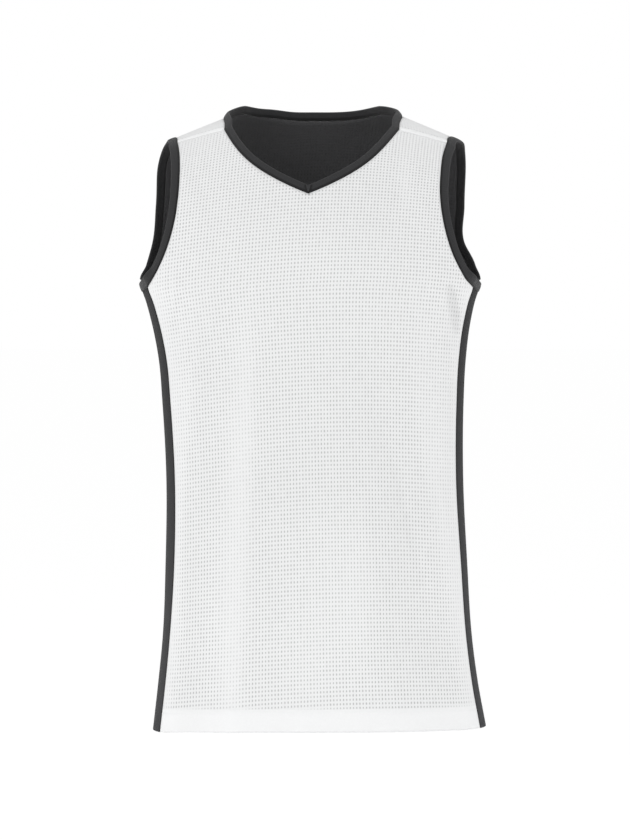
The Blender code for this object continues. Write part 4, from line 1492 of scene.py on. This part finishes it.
class JERSEY_OT_side_panels(PiecesOperator, bpy.types.Operator):
    """Builds the two side panels"""

    bl_idname = "jersey.side_panels"
    bl_label = "Side panels"

    def build(self, sizes, colours):
        colour, low = shade(colours.side), shade(colours.side, 2.0)
        look = {"sheen": 0.03, "stitch": 0.0011, "low_colour": low}
        material = knit_material("side knit", colour, **look)
        for end, name in ENDS:
            grid, uvs = side_panel_grid(end), np.stack(side_panel_places(end), axis=-1)
            piece = cloth_piece(f"{name}_side_strip", grid, uvs, SIDE_LAYER, material)
            across = uvs[..., 0]
            store(piece, "seam", np.minimum(across - across[:, :1], across[:, -1:] - across))
            finish_piece(piece, f"side_panel_{name}")


class JERSEY_OT_hem_stitches(PiecesOperator, bpy.types.Operator):
    """Builds the row of stitches below the top of the hem, all round"""

    bl_idname = "jersey.hem_stitches"
    bl_label = "Hem stitches"

    def build(self, sizes, colours):
        white = thread_material("white thread", colours.white)
        lift = MESH_LAYER[0] + HEM_EXTRA
        rows = [hem_row(panel_grid(side), lift) for side in (FRONT, BACK)]
        stitches_piece("mesh_hem_stitches", rows, white)
        dark = thread_material("dark thread", colours.charcoal)
        rows = [hem_row(side_panel_grid(end), SIDE_LAYER[0]) for end, _ in ENDS]
        stitches_piece("side_hem_stitches", rows, dark)


class JERSEY_OT_bindings(PiecesOperator, bpy.types.Operator):
    """Builds the bindings of the neck and the armholes"""

    bl_idname = "jersey.bindings"
    bl_label = "Bindings"

    def build(self, sizes, colours):
        # The groove tones are painted shade along the bindings' sewn edges.
        groove = {"groove_shade_width": 0.0035, "groove_shade_tone": 0.32}
        material = rib_material("binding knit", shade(colours.charcoal), **groove)
        groove = {"groove_shade_width": 0.0030, "groove_shade_tone": 0.34}
        # Painted shade: the armhole bindings take a darker copy of the same charcoal knit.
        shaded_armhole_knit = rib_material("armhole binding knit", shade(colours.charcoal, 0.84), **groove)
        loop = neck_loop()
        _, y, z = loop[0].T
        stand = sizes.neck_stand * smooth_between(y, *NECK_STAND_Y)
        evening = smooth_between(z, V_TIP_Z, V_TOP_Z)
        width = sizes.neck_binding_width
        piece = binding_piece("neck_rib", loop, width, stand, evening, material)
        finish_piece(piece, "neck_binding")
        for end, name in ENDS:
            loop = armhole_loop(end)
            width = sizes.armhole_binding_width
            up = loop[0][:, 2] - ARMPIT_Z
            evened_out = smooth_between(up, *ARMPIT_EVENING_UP)
            evening = ARMPIT_EVENING + (1 - ARMPIT_EVENING) * evened_out
            flare = smooth_between(up, *FLARE_COMES_UP) * (1 - smooth_between(up, *FLARE_GOES_UP))
            stand = sizes.armpit_flare * flare
            piece = binding_piece(f"{name}_armhole_rib", loop, width, stand, evening, shaded_armhole_knit)
            finish_piece(piece, f"armhole_binding_{name}")


class JERSEY_OT_shoulder_seams(PiecesOperator, bpy.types.Operator):
    """Builds the smooth bands in the shoulder seams"""

    bl_idname = "jersey.shoulder_seams"
    bl_label = "Shoulder seams"

    def build(self, sizes, colours):
        colour = shade(colours.white, 1.07)
        material = knit_material("white band", colour, sheen=0.0, stitch=0.0007)
        for end, name in ENDS:
            piece = cloth_piece(f"{name}_seam_band", *seam_band_grid(end), BAND_LAYER, material)
            finish_piece(piece, f"shoulder_seam_{name}")


class JERSEY_OT_tongue(PiecesOperator, bpy.types.Operator):
    """Builds the tongue where the neck binding's ends lie over each other"""

    bl_idname = "jersey.tongue"
    bl_label = "Tongue"

    def build(self, sizes, colours):
        # The tongue's dark outline is painted shade round its raised edge.
        groove = {"groove_shade_width": 0.0013, "groove_shade_tone": 0.15}
        material = rib_material("tongue knit", shade(colours.charcoal, 1.2), **groove)
        grid, uvs = tongue_grid(neck_loop(), sizes.neck_binding_width)
        piece = cloth_piece("neck_tongue", grid, uvs, TONGUE_LAYER, material)
        finish_piece(piece, "neck_overlap")


class JERSEY_OT_stage(bpy.types.Operator):
    """Builds the floor, the lights and the camera"""

    bl_idname = "jersey.stage"
    bl_label = "Stage"

    def execute(self, context):
        stage = context.scene.jersey_stage
        build_camera(stage)
        build_lights(stage)
        build_floor()
        return {"FINISHED"}


# The camera looks at VIEW_CENTRE and takes in VIEW_HEIGHT there, 840 pixels of 1.18 mm.
SENSOR_HEIGHT_MM = 36.0
VIEW_CENTRE = (0.0022, 0.0, -0.3456)
VIEW_HEIGHT = 840 * 0.00118

# Soft lights: name, share of the key light's power, and turn about the jersey in degrees.
LIGHTS = (("key", 1.0, -38), ("fill", 0.62, 48))
LIGHT_DISTANCE = 3.8
LIGHT_Z = 1.4
LIGHT_SIZE = 2.0
LIGHT_TILT = math.radians(65)

FLOOR_Z = -1.1
FLOOR_RADIUS = 40
FLOOR_CORNERS = 64
FLOOR_GLOW = 0.34


def build_camera(stage):
    data = bpy.data.cameras.new("camera")
    data.sensor_fit = "VERTICAL"
    data.sensor_height = SENSOR_HEIGHT_MM
    data.lens = SENSOR_HEIGHT_MM * stage.distance / VIEW_HEIGHT
    data.clip_end = 100.0
    camera = new_object("camera", data)
    lean = stage.elevation
    back_up = np.array([0, -math.cos(lean), math.sin(lean)])
    camera.location = VIEW_CENTRE + stage.distance * back_up
    camera.rotation_euler = (math.pi / 2 - lean, 0.0, 0.0)
    bpy.context.scene.camera = camera


def build_lights(stage):
    scene = bpy.context.scene
    scene.view_settings.view_transform = "Standard"
    world = bpy.data.worlds.new("studio")
    world.use_nodes = True
    tree = world.node_tree
    background = tree.nodes["Background"]
    background.inputs["Color"].default_value = (1.0, 1.0, 1.0, 1.0)
    seen = add(tree, "ShaderNodeLightPath", {}).outputs["Is Camera Ray"]
    strength = between(tree, seen, 0.0, 1.0, stage.sky, 1.0)
    tree.links.new(strength, background.inputs["Strength"])
    scene.world = world
    for name, share, turn in LIGHTS:
        data = bpy.data.lights.new(name, "AREA")
        data.energy = stage.key * share
        data.size = LIGHT_SIZE
        light = new_object(name, data)
        angle = math.radians(turn)
        away = (LIGHT_DISTANCE * math.sin(angle), -LIGHT_DISTANCE * math.cos(angle))
        light.location = (*away, LIGHT_Z)
        light.rotation_euler = (LIGHT_TILT, 0.0, angle)


def build_floor():
    """A round floor, one disc well below the hem, that glows a little."""
    turn = np.linspace(0, 2 * math.pi, FLOOR_CORNERS + 1)[:-1]
    ring = FLOOR_RADIUS * np.stack([np.cos(turn), np.sin(turn), 0 * turn], axis=-1)
    ring[:, 2] = FLOOR_Z
    mesh = bpy.data.meshes.new("floor")
    mesh.from_pydata(ring.tolist(), [], [list(range(FLOOR_CORNERS))])
    inputs = {
        "Base Color": (0.86, 0.86, 0.86, 1.0),
        "Roughness": 0.9,
        "Specular IOR Level": 0.0,
        "Emission Color": (1.0, 1.0, 1.0, 1.0),
        "Emission Strength": FLOOR_GLOW,
    }
    mesh.materials.append(new_material("pale floor", inputs)[0])
    new_object("floor", mesh)


class JERSEY_PT_panel(bpy.types.Panel):
    bl_idname = "JERSEY_PT_panel"
    bl_label = "Basketball Jersey"
    bl_space_type = "VIEW_3D"
    bl_region_type = "UI"
    bl_category = "Jersey"

    def draw(self, context):
        for scene_name in GROUPS:
            group = getattr(context.scene, scene_name)
            for name in group.__annotations__:
                self.layout.prop(group, name)
        for operator in OPERATORS:
            self.layout.operator(operator.bl_idname)


GROUPS = {
    "jersey_sizes": JerseySizes,
    "jersey_colours": JerseyColours,
    "jersey_stage": JerseyStage,
}
OPERATORS = (
    JERSEY_OT_outer_mesh,
    JERSEY_OT_inner_layer,
    JERSEY_OT_side_panels,
    JERSEY_OT_hem_stitches,
    JERSEY_OT_bindings,
    JERSEY_OT_shoulder_seams,
    JERSEY_OT_tongue,
    JERSEY_OT_stage,
)


def register():
    for each in (*GROUPS.values(), *OPERATORS, JERSEY_PT_panel):
        bpy.utils.register_class(each)
    for name, group in GROUPS.items():
        setattr(bpy.types.Scene, name, bpy.props.PointerProperty(type=group))


def unregister():
    for name in GROUPS:
        delattr(bpy.types.Scene, name)
    for each in (JERSEY_PT_panel, *reversed(OPERATORS), *reversed(GROUPS.values())):
        bpy.utils.unregister_class(each)


def main():
    register()
    for operator in OPERATORS:
        group, name = operator.bl_idname.split(".")
        getattr(getattr(bpy.ops, group), name)()


if __name__ == "__main__":
    main()
